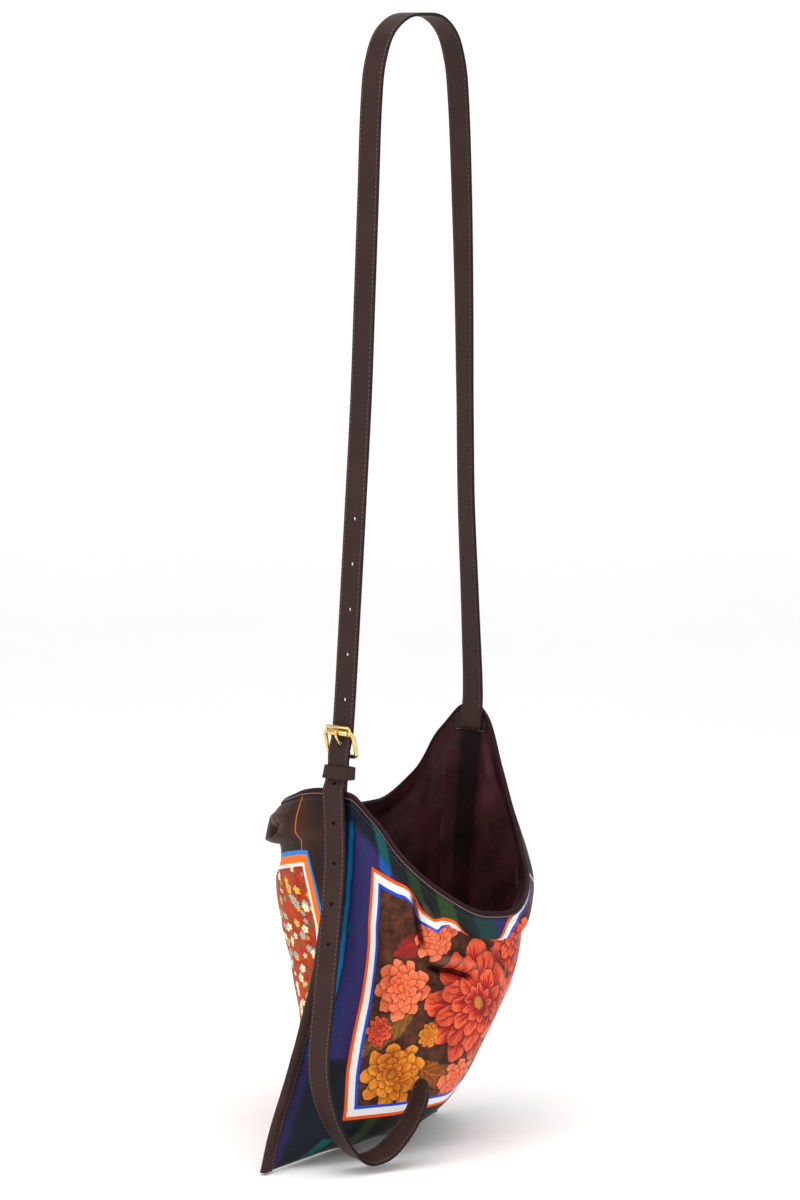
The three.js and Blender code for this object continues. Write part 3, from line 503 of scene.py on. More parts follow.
def satin(m, colour, u, w, sheen=0.03, rough=0.44, shiny=0.14):
    """Smooth satin twill finish for the printed cloth."""
    vector = m.vec(u, w)
    slub = m.noise(m.vec(u * 0.25, w * 2.4), 0.9, 2.0)
    crush = m.noise(vector, 0.045, 4.0, 0.55, 0.6)
    shine = m.noise(vector, 0.2, 3.0) * 0.18 + (rough - 0.08)
    normal = m.bump(crush, 0.22, 0.003, m.bump(weave_height(u, w, 0.55) + slub, 0.18, 0.00006))
    return m.finish(Base_Color=colour, Roughness=shine, Normal=normal, Sheen_Weight=sheen,
                    Sheen_Roughness=0.35, Specular_IOR_Level=shiny)


def stripes(m, inside, rows, ground, picture):
    """Frame stripes by distance inside the frame: rows of end distance and colour, outside first."""
    colour = ground
    start = 0.0
    for end, tone in (*rows, (None, picture)):
        colour = m.mix(m.step(inside, start - 0.12, start + 0.12), colour, tone)
        start = end
    return colour


CORAL, CRIMSON, AMBER = rgb(236, 98, 60), rgb(140, 12, 36), rgb(206, 106, 12)
PEACH, RUST = rgb(242, 128, 84), rgb(178, 34, 30)
ORANGE, WHITE, BLUE = rgb(238, 84, 10), rgb(234, 232, 228), rgb(24, 74, 196)
BLOOMS = [  # made-up blooms of the front: centre, radius, turn of the petals, palette
    (100, 76, 44, 0.3, 0), (36, 32, 26, 0.9, 1), (36, 98, 24, 0.1, 2), (98, 16, 22, 0.5, 2),
    (152, 44, 28, 1.2, 1), (150, 112, 32, 0.4, 0), (68, 134, 19, 0.2, 2), (196, 84, 30, 0.8, 2),
    (198, 30, 24, 0.2, 0), (62, 60, 10, 0.6, 1), (20, 66, 11, 0.4, 0), (124, 142, 14, 0.0, 1)]
PALETTES = [  # deep, middle and tip tones, each for the three palettes
    (CRIMSON, rgb(146, 56, 8), RUST), (RUST, AMBER, CORAL), (CORAL, rgb(234, 146, 44), PEACH)]
PETALS = 9
LEAVES = [  # centre, length, half width, turn, dark, light
    (26, 66, 30, 9, 0.7, rgb(92, 64, 30), rgb(170, 110, 40)), (74, 26, 34, 10, 2.7, rgb(96, 58, 28), AMBER),
    (132, 94, 32, 10, -0.6, rgb(80, 60, 30), rgb(150, 92, 40)), (52, 132, 28, 8, 0.2, rgb(110, 40, 30), RUST),
    (160, 30, 34, 10, 0.9, rgb(96, 58, 28), AMBER)]


def blooms(m, under, x, y):
    """Many-petalled rosettes: each point belongs to the nearest bloom for its size."""
    best, chosen = 9.0, (0.0, 0.0, 0.0)
    for cx, cy, size, turn, palette in BLOOMS:
        dx, dy = (x - cx) * (1 / size), (y - cy) * (1 / size)
        away = (dx * dx + dy * dy).of("SQRT")
        own = m.vec(dx, dy, (palette + 0.5 + 0.3 * math.sin(turn * 7)) / 3)
        values = {0: m.math("LESS_THAN", away, best), 4: chosen, 5: own}
        chosen = m.out(m.node("ShaderNodeMix", data_type="VECTOR", inputs=values), 1)
        best = m.least(away, best)
    px, py, kind = m.split(chosen)
    angle = m.math("ARCTAN2", py, px) + kind * 5.0
    places = (0.0, 0.334, 0.667)
    deep, middle, tip = (m.ramp(kind, list(zip(places, tones)), "CONSTANT") for tones in PALETTES)
    colour = under
    for layer, share in enumerate((1.0, 0.77, 0.53, 0.31)):
        wave = abs((angle * (PETALS / 2) + layer * 1.3).of("COSINE"))
        depth = best / ((m.math("POWER", wave, 0.6) * 0.36 + 0.64) * share)
        streak = m.noise(m.vec(angle * (PETALS * 1.5), best * 1.4, layer * 3.1), 1.5, 3.0, 0.6)
        tone = depth + (streak - 0.5) * 1.4
        petal = m.mix(m.step(tone, 0.62, 0.95), m.mix(m.step(tone, 0.3, 0.68), deep, middle), tip)
        petal = m.mix(m.step(wave, 0.42, 0.02) * 0.75, petal, deep)
        colour = m.mix(m.step(depth, 1.2, 1.0) * 0.62, colour, rgb(44, 14, 14))
        colour = m.mix(m.step(depth, 1.015, 0.985), colour, petal)
    return m.mix(m.step(best, 0.12, 0.08), colour, m.mix(0.5, deep, rgb(236, 170, 60)))


def leaf(m, under, x, y, row):
    cx, cy, long, wide, turn, dark, light = row
    c, s = math.cos(turn), math.sin(turn)
    dx, dy = x - cx, y - cy
    a = dx * c + dy * s
    bent = dy * c - dx * s + a * a * (0.12 / long)
    share = a / long
    room = (1.0 - share * share) * wide
    veins = (abs(bent) * 1.5 + a * 1.1).of("SINE")
    tone = m.mix(veins * 0.2 + 0.35, dark, light)
    tone = m.mix(m.step(abs(bent), 0.7, 0.35), tone, light)
    return m.mix(m.step(room - abs(bent), 0.0, 0.5), under, tone)


def front_print():
    """Blurred plaid ground, striped frame and a panel of made-up rosettes and leaves, with painted shade in
    the valleys of the folds and a painted highlight on their ridges.
    """
    m = Shade("printed_satin_front")
    u, w = m.uv("cloth")
    a, b = m.uv("frame_left_top")
    c, d = m.uv("frame_low_right")
    below, place = m.uv("rim")
    night, violet, purple, navy = rgb(20, 25, 36), rgb(46, 42, 94), rgb(52, 32, 80), rgb(28, 42, 100)
    moss, teal, sea, green = rgb(13, 20, 18), rgb(8, 84, 82), rgb(2, 104, 164), rgb(32, 54, 26)
    bright = rgb(40, 64, 28)
    upper = [
        (0, 20, moss), (24, 34, green), (38, 58, moss), (62, 70, green), (74, 74, moss), (92, 92, night),
        (98, 112, purple), (119, 129, violet), (131, 131, night), (132.4, 134.4, sea), (135.6, 135.6, night),
        (138, 138, navy), (150, 150, violet)]
    lower = [
        (0, 20, moss), (24, 34, green), (38, 60, moss), (64, 72, green), (76, 76, moss), (90, 135, night),
        (140, 150, rgb(36, 33, 72))]
    edge = [
        (-100, -80, moss), (-78, -73, teal), (-71, -71, moss), (-62, -62, night), (-60.5, -56, green),
        (-54.5, -47, moss), (-45.5, -38, bright), (-36, -36, moss), (-27, -27, rgb(18, 34, 30)),
        (-24, -24, rgb(20, 54, 56)), (-15, -15, rgb(22, 56, 58)), (-12, 0, violet), (10, 10, night),
        (50, 62, moss), (64, 70, green), (72, 72, night), (74, 79, teal), (81, 100, moss)]
    soft = (m.noise(m.vec(u, w), 0.11, 3.0) - 0.5) * 2.4
    aside = abs(u + soft - 100.0)
    plaid = m.mix(m.step(w + soft, 82.0, 74.0), m.bands(aside, 0, 160, upper), m.bands(aside, 0, 160, lower))
    outer = m.step(aside, 122.0, 130.0)
    for low, high, share, tone in ((76.0, 122.0, 0.6, rgb(20, 52, 112)), (168.0, 180.0, 0.3, teal)):
        level = m.step(w, low, low + 5) * m.step(w, high, high - 5)
        plaid = m.mix(level * outer * share, plaid, tone)
    plaid = m.mix(m.step(abs(aside - 99.0), 6.0, 4.5) * m.step(w, 21.0, 18.0), plaid, teal)
    band = m.bands(place + (below - 8.0) * -0.25, -100, 100, edge)
    plaid = m.mix(m.step(below + soft * 1.5, 24.0, 15.0) * 0.92, plaid, band)
    spot = m.step(abs(place + 73.0), 4.0, 2.5) * m.step(abs(below - 24.0), 6.0, 4.0)
    plaid = m.mix(spot, plaid, rgb(16, 84, 160))
    x, y = (v + (m.noise(m.vec(a, c, z), 0.055, 3.0, 0.55) - 0.5) * 13.0 for v, z in ((a, 0.0), (c, 9.0)))
    paint = m.noise(m.vec(x, y), 0.12, 5.0, 0.6)
    picture = m.mix(m.step(paint, 0.3, 0.75), rgb(58, 30, 22), rgb(104, 58, 34))
    for row in LEAVES:
        picture = leaf(m, picture, x, y, row)
    picture = blooms(m, picture, x, y)
    wash = m.noise(m.vec(a, c), 0.035, 4.0, 0.6)
    washed = m.mix(1.0, picture, rgb(150, 70, 60), "MULTIPLY")
    picture = m.mix(m.step(wash, 0.58, 0.34) * 0.5, picture, washed)
    inside = m.least(a, b, c, d)
    colour = stripes(m, inside, ((2.5, ORANGE), (7.7, WHITE), (10.0, BLUE)), plaid, picture)
    # painted shade: the colour is darkened where the fine folds sink in; painted highlight: it is lightened a
    # little where they rise
    fold, _ = m.uv("fold")
    colour = m.mix(m.step(fold, -0.8, -4.6), colour, m.mix(1.0, colour, rgb(128, 74, 84), "MULTIPLY"))
    colour = m.mix(m.step(fold, 2.0, 6.0) * 0.08, colour, rgb(255, 196, 170))
    return satin(m, colour, u, w)


def back_print():
    """Brown tartan ground with thin orange lines, striped frame and a scatter of small blossoms."""
    m = Shade("printed_satin_back")
    u, w = m.uv("cloth")
    a, b = m.uv("frame_left_top")
    c, d = m.uv("frame_low_right")
    soft = (m.noise(m.vec(u, w), 0.09, 2.0) - 0.5) * 3.0
    brown, plum, tan, soot = rgb(52, 31, 21), rgb(38, 24, 24), rgb(72, 41, 25), rgb(27, 18, 16)
    columns = [(0.0, brown), (0.2, plum), (0.35, brown), (0.55, tan), (0.7, brown), (0.85, soot),
               (1.0, brown)]
    rows = [(0.0, tan), (0.25, brown), (0.45, plum), (0.6, plum), (0.8, brown), (1.0, tan)]
    ground = m.mix(0.5, m.ramp(((u + soft) / 42.0).of("FRACT"), columns, "EASE"),
                   m.ramp(((w + soft) / 48.0).of("FRACT"), rows, "EASE"))
    for value, pitch, shown in ((u + 77.7, 42.0, 1.0), (w + 39.0, 48.0, m.step(w, 196.0, 190.0))):
        line = abs((value / pitch).of("FRACT") - 0.5)
        ground = m.mix(m.step(line, 0.62 / pitch, 0.38 / pitch) * shown, ground, rgb(206, 104, 36))
    x, y = a * 0.62, c
    paint = m.noise(m.vec(x, y), 0.1, 4.0, 0.6)
    field = m.mix(m.step(paint, 0.3, 0.75), rgb(156, 36, 14), rgb(198, 66, 20))
    twig = m.noise(m.vec(x, y), 0.07, 2.0, 0.5, 1.2)
    field = m.mix(m.step(abs(twig - 0.5), 0.03, 0.012), field, rgb(116, 92, 40))
    for scale, shift, tone, heart in ((0.1, 3.0, rgb(222, 176, 70), rgb(160, 84, 24)),
                                      (0.1, 7.3, rgb(164, 172, 162), rgb(96, 104, 104)),
                                      (0.115, 15.1, rgb(238, 226, 184), rgb(200, 140, 50))):
        moved = m.vec(x + shift, y + shift * 1.7)
        cell = m.cells(moved, scale)
        offset = m.node("ShaderNodeVectorMath", {0: moved, 1: m.out(cell, "Position")}, operation="SUBTRACT")
        px, py, _ = m.split(m.out(offset))
        wave = abs((m.math("ARCTAN2", py, px) * 2.5).of("COSINE")).of("SQRT")
        away = m.out(cell, "Distance") / scale
        field = m.mix(m.step(wave * 1.5 + 1.7 - away, 0.0, 0.25), field, tone)
        field = m.mix(m.step(away, 0.85, 0.6), field, heart)
    frame_rows = ((3.0, rgb(46, 128, 208)), (8.6, rgb(252, 116, 8)), (11.2, WHITE))
    colour = stripes(m, m.least(a, b, c, d), frame_rows, ground, field)
    return satin(m, colour, u, w, 0.0, 0.56, 0.12)


def lining_cloth():
    """Plain burgundy satin, with painted shade in the fold of the far corner."""
    m = Shade("lining_satin")
    u, w = m.uv("cloth")
    broad = m.noise(m.vec(u, w), 0.03, 3.0)
    colour = m.mix(m.step(broad, 0.3, 0.7), rgb(44, 19, 22), rgb(68, 31, 35))
    seam, high = m.uv("corner")
    # painted shade: these levels multiply the colour darker along the far seam, most at the seam itself, over
    # the upper part of the lining
    light = [(-50, -20, 0.8), (-9, -9, 1.0), (-6.5, -6.5, 0.7), (-4.5, -4.5, 0.2), (0, 0, 0.1), (4, 4, 0.2),
             (6, 50, 1.0)]
    deep = m.bands(seam, -50, 50, [(start, end, (x, x, x, 1.0)) for start, end, x in light])
    colour = m.mix(m.step(high, 40.0, 70.0), colour, m.mix(1.0, colour, deep, "MULTIPLY"))
    return satin(m, colour, u, w, 0.0, 0.56, 0.1)


def gold_metal():
    m = Shade("pale_gold")
    place = m.place()
    wear = m.noise(place, 0.5, 4.0, 0.6)
    colour = m.mix(m.step(wear, 0.35, 0.7), rgb(214, 178, 104), rgb(240, 216, 150))
    shine = m.noise(place, 1.4, 3.0) * 0.16 + 0.16
    normal = m.bump(m.noise(place, 3.0, 2.0), 0.08, 0.00005)
    return m.finish(Base_Color=colour, Metallic=1.0, Roughness=shine, Normal=normal)


def thread(name, light, dark):
    m = Shade(name)
    values = {"Vector": m.place(), "Scale": 1.6, "Distortion": 1.0}
    wave = m.node("ShaderNodeTexWave", values, wave_type="BANDS", bands_direction="DIAGONAL")
    twist = m.out(wave, 1)
    return m.finish(Base_Color=m.mix(twist, dark, light), Roughness=0.6, Normal=m.bump(twist, 0.4, 0.0001),
                    Sheen_Weight=0.3)


def edging_cloth():
    """Bias strip of the rim: dark burgundy with a light line along its outer edge and a black outer side."""
    m = Shade("rim_edging")
    across, along = m.uv("edge")
    colour = m.mix(m.noise(m.vec(across, along), 0.5, 3.0), rgb(31, 16, 19), rgb(44, 24, 28))
    dash = m.step((along * (2 * math.pi / 2.4)).of("SINE"), -0.95, -0.6)
    for place, tone in ((1.3, rgb(150, 114, 112)), (5.6, rgb(66, 40, 44))):
        colour = m.mix(m.step(abs(across - place), 0.42, 0.25) * dash, colour, tone)
    colour = m.mix(m.step(across, 0.85, 0.65), colour, rgb(18, 13, 15))
    return m.finish(Base_Color=colour, Roughness=0.6, Specular_IOR_Level=0.1,
                    Normal=m.bump(weave_height(across, along, 0.5), 0.2, 0.00006))


FRONT_CLOTH, BACK_CLOTH, LINING = front_print(), back_print(), lining_cloth()
STRAP_LEATHER = leather("strap_leather", rgb(50, 27, 20), rgb(37, 20, 16), "strap", 9.55)
TRIM_LEATHER = leather("trim_leather", rgb(50, 28, 22), rgb(37, 21, 17))
FACING_LEATHER = leather("facing_leather", rgb(36, 22, 20), rgb(26, 16, 15))
GOLD = gold_metal()
LEATHER_THREAD = thread("leather_thread", rgb(112, 74, 78), rgb(70, 44, 46))
LIGHT_THREAD = thread("light_thread", rgb(168, 130, 128), rgb(110, 78, 78))
CLOTH_THREAD = thread("cloth_thread", rgb(62, 40, 42), rgb(30, 20, 22))
EDGING = edging_cloth()

# Places of the printed frames on the cloth: v and s of a side edge, or s and millimetres below the rim
FRONT_LEFT = curve([
    (0.0, -0.57), (0.14, -0.65), (0.16, -0.665), (0.3, -0.745), (0.45, -0.77), (0.63, -0.785), (0.72, -0.8),
    (1.0, -0.8)])
FRONT_TOP = curve([
    (-1, 40), (-0.8, 35.5), (-0.74, 30), (-0.677, 22.5), (-0.607, 16.5), (-0.577, 17.5), (-0.53, 24),
    (-0.48, 23.5), (-0.427, 17), (-0.37, 14.5), (-0.31, 20.5), (-0.22, 21.5), (-0.127, 20.0), (-0.087, 12.5),
    (-0.043, 5), (0.01, 0.5), (0.08, -3.4), (0.3, -2.6), (0.4, -2.2), (0.5, 12), (0.8, 34), (1, 38)])
BACK_NEAR = curve([
    (0.0, -1.3), (0.3, -1.25), (0.55, -1.07), (0.66, -0.97), (0.747, -0.9), (0.817, -0.83), (1.0, -0.72)])
BACK_FAR = 0.8
FIN_S, FIN_ARC = 0.08, 6.0  # the seam edge past the last s, in s and in millimetres


# Cloth body
def panel(side, material):
    """One printed panel with its seam edges: the piece, its area and its flat size in metres."""
    v = np.concatenate([np.linspace(0, 0.62, 60, endpoint=False), np.linspace(0.62, 1, 110)])
    grid, ss, vv = cloth_grid(side, seam_spread(150, 0.9), v)
    sign = SIDES[side]["sign"]
    fins = []
    for end in (-1, 1):
        column = grid[:, 0 if end < 0 else -1].copy()
        column[:, 0] += end * LEVEL["fin"](v)
        column[:, 1] = sign * SEAM_HALF
        fins.append(column[:, None])
    outer = np.concatenate([fins[0], grid, fins[1]], 1)
    ss = np.concatenate([ss[:, :1] - FIN_S, ss, ss[:, -1:] + FIN_S], 1)
    vv = np.concatenate([vv[:, :1], vv, vv[:, -1:]], 1)
    inner = outer - normals(outer, BODY_AXIS) * CLOTH_THICK
    inner[..., 1] = sign * np.maximum(GAP / 2, sign * inner[..., 1])
    within = ss.clip(-1, 1)
    step = np.linalg.norm(np.diff(cloth_base(side, within, vv), axis=1), axis=-1)
    step[:, [0, -1]] = FIN_ARC
    arc = np.concatenate([np.zeros((len(v), 1)), np.cumsum(step, 1)], 1)
    height = SIDES[side]["rim"](within) - BOTTOM_Z
    below, above = (1 - vv) * height, vv * height

    def arc_at(where):
        places = [np.interp(s, ss[i], arc[i]) - 110 * max(0.0, -1.08 - s) for i, s in enumerate(where)]
        return np.array(places)[:, None]

    if side == "front":
        left, right = arc - arc_at(FRONT_LEFT(v)), arc_at(-FRONT_LEFT(v)) - arc
        slope = np.stack([np.gradient(FRONT_TOP(row), run) for row, run in zip(ss, arc)])
        top = (below - FRONT_TOP(ss)) / np.sqrt(1 + np.clip(slope, -1.2, 1.2) ** 2)
        turned = np.clip((ss - TURN_S) / TURN_SPREAD, 0, 1)
        drop = FRONT_TOP(TURN_S) + turned * (HIDDEN_TOP - FRONT_TOP(TURN_S))
        top = np.where(ss > TURN_S, below - drop, top)
    else:
        left, right = arc - arc_at(BACK_NEAR(v)), arc_at(BACK_FAR + 0 * v) - arc
        top = below - BACK_TOP
    # the fold map carries the depth of the fine folds, which the front material turns into painted shade in
    # the valleys and a painted highlight on the ridges
    maps = {"cloth": (ss * 147 + 100, above), "frame_left_top": (left, top),
            "frame_low_right": (above - FRAME_LOW, right), "rim": (below, ss * 100),
            "fold": (ripple(side, within, vv), 0 * ss)}
    uvs = {key: np.tile(np.stack(pair, -1).reshape(-1, 2), (2, 1)) for key, pair in maps.items()}
    piece = add(side + "_cloth", *wall(outer, inner), material, side + "_cloth", side + "_panel", uvs=uvs)
    return piece, surface(outer), (arc.max() * MM, height.max() * MM)


def lining_piece():
    """The lining inside both panels, closed at the foot: the piece, its area and its arc in metres."""
    rows = np.concatenate([np.linspace(0.05, 0.6, 40, endpoint=False), np.linspace(0.6, 1, 60)])
    rings, corner = [[], []], []
    for side in ("front", "back"):
        form = SIDES[side]
        sign = form["sign"]
        grid, ss, vv = cloth_grid(side, np.linspace(-0.955, 0.955, 90) * -sign, rows, side == "back")
        n = normals(grid, BODY_AXIS)
        slack = np.zeros_like(ss)
        for name, s0, lean, spread, push, bottom in LINING_FOLDS:
            if name == side:
                hang = np.exp(-(((ss - s0 - lean * (1 - vv)) / spread) ** 2))
                slack += push * hang * smooth(vv, bottom, bottom + 0.3)
        slack *= (1 - smooth(vv, 0.895, 0.95)) * (1 - smooth(np.abs(ss), 0.915, 0.955))
        slack += 0.4 * smooth(np.abs(ss), 0.85, 0.955)
        if side == "front":
            along = (1 - vv) * (form["rim"](ss) - BOTTOM_Z)
            creased = np.maximum(form["share"](ss), smooth(ss, -0.74, -0.62) * (1 - smooth(ss, 0.0, 0.3)))
            slack += 8.5 * smooth(along, 3, 15) * (1 - smooth(along, 60, 105)) * creased
        for ring, depth, least in zip(rings, (1.75, 2.6), (0.9, 0.5)):
            inside = grid - n * (depth + slack)[..., None]
            inside[..., 1] = sign * np.maximum(least, sign * inside[..., 1])
            ring.append(inside)
        # the corner map gives the distance from the far seam and the height, for the painted shade of the
        # lining along that seam
        corner.append(np.stack([(ss - 1) * sign * 100, vv * 100], -1))
    outer, inner = (np.concatenate(ring, 1) for ring in rings)
    count, cols = outer.shape[:2]
    n = count * cols
    verts = np.concatenate([outer.reshape(-1, 3), inner.reshape(-1, 3)])
    faces = grid_faces(count, cols, closed=True) + grid_faces(count, cols, n, closed=True, flip=True)
    top = n - cols
    faces += [(top + j, top + (j + 1) % cols, n + top + (j + 1) % cols, n + top + j) for j in range(cols)]
    for j in range(cols // 2 - 1):
        faces.append((j + 1, j, cols - 1 - j, cols - 2 - j))
        faces.append((n + j, n + j + 1, n + cols - 2 - j, n + cols - 1 - j))
    arc = np.stack([running(row) for row in inner])
    maps = {"cloth": np.stack([arc, inner[..., 2] - BOTTOM_Z], -1), "corner": np.concatenate(corner, 1)}
    uvs = {key: np.tile(pair.reshape(-1, 2), (2, 1)) for key, pair in maps.items()}
    piece = add("lining_cloth", verts, turn_out(verts, faces), LINING, "lining_cloth", "lining", uvs=uvs)
    return piece, surface(inner), arc.max() * MM


front, front_area, front_flat = panel("front", FRONT_CLOTH)
back, back_area, back_flat = panel("back", BACK_CLOTH)
lining, lining_area, lining_arc = lining_piece()

# Rim edging: a narrow strip folded over the edge, profile outwards and upwards from the rim
EDGE_PROFILE = np.array([
    (0.2, -2.6), (0.45, -2.85), (0.75, -2.6), (0.8, -1.6), (0.8, -0.4), (0.8, 0.8), (0.74, 1.6), (0.45, 2.05),
    (0.0, 2.3), (-0.9, 2.4), (-1.9, 2.35), (-2.7, 2.1), (-3.05, 1.6), (-3.15, 0.8), (-3.15, -0.6),
    (-3.1, -1.4), (-2.95, -1.5), (-2.85, -1.3), (-2.85, 0.4), (-2.7, 0.75), (-0.1, 0.75), (0.2, 0.5)])


def rim_edge():
    rows = []
    for side in ("front", "back"):
        s = seam_spread(110, 0.96) * -SIDES[side]["sign"]
        top, _, _ = cloth_grid(side, s, np.array([0.94, 0.97, 0.985, 1.0]))
        rows.append((top[-1], normals(top, MOUTH_AXIS)[-1], unit(top[-1] - top[-2])))
    points, outs, ups = join(rows)
    verts, faces = sweep(points, (outs, ups), EDGE_PROFILE, closed_path=True)
    along, across = np.meshgrid(running(points), running(EDGE_PROFILE), indexing="ij")
    uv = np.stack([across, along], -1).reshape(-1, 2)
    add("rim_edging", verts, turn_out(verts, faces), EDGING, "edging", "rim_binding", uvs={"edge": uv})


# Stitches
def stitch_line(points, outs, pitch, share=0.72):
    """Starts, ends and directions of even stitches along a row of points."""
    length = running(points)
    begin = np.arange(pitch * 0.5, length[-1] - pitch, pitch)
    out = unit(between(begin + pitch * share / 2, length, outs))
    return between(begin, length, points), between(begin + pitch * share, length, points), out


def join(lists):
    return tuple(np.concatenate(x) for x in zip(*lists))


def sew(name, lines, radius, material, slot, sides=6):
    """Short arched threads along stitch lines."""
    shape = [(0.0, 0.25, -0.55), (0.12, 0.85, 0.1), (0.5, 1.0, 0.42), (0.88, 0.85, 0.1), (1.0, 0.25, -0.55)]
    starts, ends, outs = join(lines)
    along = ends - starts
    across = unit(np.cross(outs, along))
    angle = (np.arange(sides) * 2 * np.pi / sides)[None, :, None]
    ring = np.cos(angle) * across[:, None] + np.sin(angle) * outs[:, None]
    rings = []
    for share, thick, lift in shape:
        centre = starts + along * share + outs * radius * lift
        rings.append(centre[:, None] + radius * thick * ring)
    verts = np.stack(rings, 1).reshape(-1, 3)
    faces = []
    for n in range(len(starts)):
        faces += tube_faces(len(shape), sides, n * len(shape) * sides)
    add(name, verts, faces, material, slot)


def side_binding(node, s):
    """Leather folded round a side seam; gives its stitch lines."""
    v = np.linspace(0.0, 0.95, 90)
    z = BOTTOM_Z + (SIDES["front"]["rim"](s) - BOTTOM_Z) * v
    seam = plan_at("front", s + 0 * v, v)[0]
    root, end = seam + s * 0.5, seam + s * (LEVEL["fin"](v) + 2 * GAP + 1.3)
    fold, thick, edge = SEAM_HALF + GAP, 1.3, 0.35
    reach = fold + thick
    rows = []
    for wide in np.abs(end - root):
        run = max(wide - reach, 0.3)
        deep = max(wide - thick, 0.5)
        face = [(0, fold + 0.15), (0, reach - edge), (edge, reach)]
        face += [(edge + (run - edge) * k / 4, reach) for k in range(1, 5)]
        turns = [math.pi / 2 - math.pi * k / 12 for k in range(1, 12)]
        bend = [(run + (wide - run) * math.cos(a), reach * math.sin(a)) for a in turns]
        inside = [(edge, -fold), (deep * 0.6, -fold), (deep - 0.2, -fold), (deep, 0.3 - fold)]
        rows.append(face + bend + mirrored(face) + inside + mirrored(inside))
    x, y = np.moveaxis(np.array(rows), -1, 0)
    wave = 0.12 * np.sin(z * 0.21) + 0.08 * np.sin(z * 0.53 + 1.0)
    waved = y + wave[:, None] * np.sign(y) * (x > 0.4) * (np.abs(y) > fold + 0.6)
    verts = np.stack([root[:, None] + s * x, waved, z[:, None] + 0 * x], -1).reshape(-1, 3)
    add(node + "_leather", verts, turn_out(verts, tube_faces(*x.shape)), TRIM_LEATHER, "leather", node)
    lines = []
    for sign in (-1.0, 1.0):
        path = np.stack([root + s * 1.7, sign * reach + 0 * z, z], -1)
        lines.append(stitch_line(path, np.tile((0.0, sign, 0.0), (len(z), 1)), 3.2))
    return lines


def peak_facing():
    """Facing behind the end of the strap inside the far peak; gives its stitch line."""
    y = np.linspace(-13, 17, 45)
    away = np.abs(y)
    high = -535.2 - np.where(y > 0, 3.5, 9.5) * smooth(away, 3, 12)
    high -= np.where(y > 0, 3.5, 4.0) * smooth(away, 10, 17)
    low = -553.6 - 1.5 * smooth(away, 9, 17)
    face = 71.9 - 0.8 * smooth(away, 9, 16)
    f = np.linspace(0, 1, 14)[:, None]
    z = high + (low - high) * f
    layers = [np.stack([face - depth - 0.9 * f, y + 0 * f, z], -1) for depth in (0.0, 0.5)]
    add("peak_facing", *wall(layers[1], layers[0]), FACING_LEATHER, "leather")
    edge = layers[1][-2, 2:-2]
    return stitch_line(edge, np.tile((-1.0, 0.0, 0.0), (len(edge), 1)), 2.4)


def topstitch(side):
    s = np.linspace(-0.965, 0.965, 400)
    height = SIDES[side]["rim"](s) - BOTTOM_Z
    rows = np.stack([cloth_base(side, s, 1 - (TOPSTITCH_DOWN + d) / height) for d in (-0.4, 0.0, 0.4)])
    n = normals(rows, MOUTH_AXIS)[1]
    lifted = rows[1] + n * ripple(side, s, 1 - TOPSTITCH_DOWN / height)[:, None]
    return stitch_line(lifted, n, 2.6, 0.66)


rim_edge()
sew("binding_stitches", side_binding("side_binding_near", -1) + side_binding("side_binding_far", 1), 0.3,
    LEATHER_THREAD, "leather")
sew("facing_stitches", [peak_facing()], 0.3, LIGHT_THREAD, "leather")
sew("rim_stitches", [topstitch("front"), topstitch("back")], 0.24, CLOTH_THREAD, "edging")


# Strap
def strap_line():
    """The strap's middle line as a centripetal spline, its twist and its running length."""
    rows = np.array(STRAP_PATH, float)
    pts, twist = rows[:, :3], rows[:, 3]
    ext = np.concatenate([[2 * pts[0] - pts[1]], pts, [2 * pts[-1] - pts[-2]]])
    line, turns = [], []
    for i in range(len(pts) - 1):
        p0, p1, p2, p3 = ext[i:i + 4]
        d0, d1, d2 = (max(np.linalg.norm(b - a) ** 0.5, 1e-4) for a, b in ((p0, p1), (p1, p2), (p2, p3)))
        t1 = ((p1 - p0) / d0 - (p2 - p0) / (d0 + d1) + (p2 - p1) / d1) * d1
        t2 = ((p2 - p1) / d1 - (p3 - p1) / (d1 + d2) + (p3 - p2) / d2) * d1
        f = np.linspace(0, 1, 80, endpoint=i == len(pts) - 2)[:, None]
        ends = (2 * f**3 - 3 * f**2 + 1) * p1 + (3 * f**2 - 2 * f**3) * p2
        line.append(ends + (f**3 - 2 * f**2 + f) * t1 + (f**3 - f**2) * t2)
        turns.append(twist[i] + (twist[i + 1] - twist[i]) * f[:, 0])
    line = np.concatenate(line)
    return line, np.concatenate(turns), running(line)


LINE, TURNS, LENGTH = strap_line()
STRAP_LONG = LENGTH[-1]
SHORT_DOWN = np.array([-SHORT_LEAN, 0, -math.sqrt(1 - SHORT_LEAN**2)])
SHORT_OUT = np.array([SHORT_DOWN[2], 0, -SHORT_DOWN[0]])
HALF_COLUMNS = [  # across, half thickness, with a groove at the stitch line
    (0, 1.3), (2, 1.3), (4, 1.3), (6, 1.3), (7.2, 1.3), (7.7, 1.16), (STITCH_INSET, 1.1), (8.1, 1.16),
    (8.6, 1.26), (9.4, 1.05), (9.85, 0.62), (10, 0)]
COLUMNS = [(-w, h) for w, h in reversed(HALF_COLUMNS[1:])] + HALF_COLUMNS
TIP_STATIONS = (1, 0.85, 0.7, 0.55, 0.4, 0.28, 0.17, 0.08, 0.03, 0)
HOLE_PATCH = 4  # a hole takes up a patch of this many columns and stations


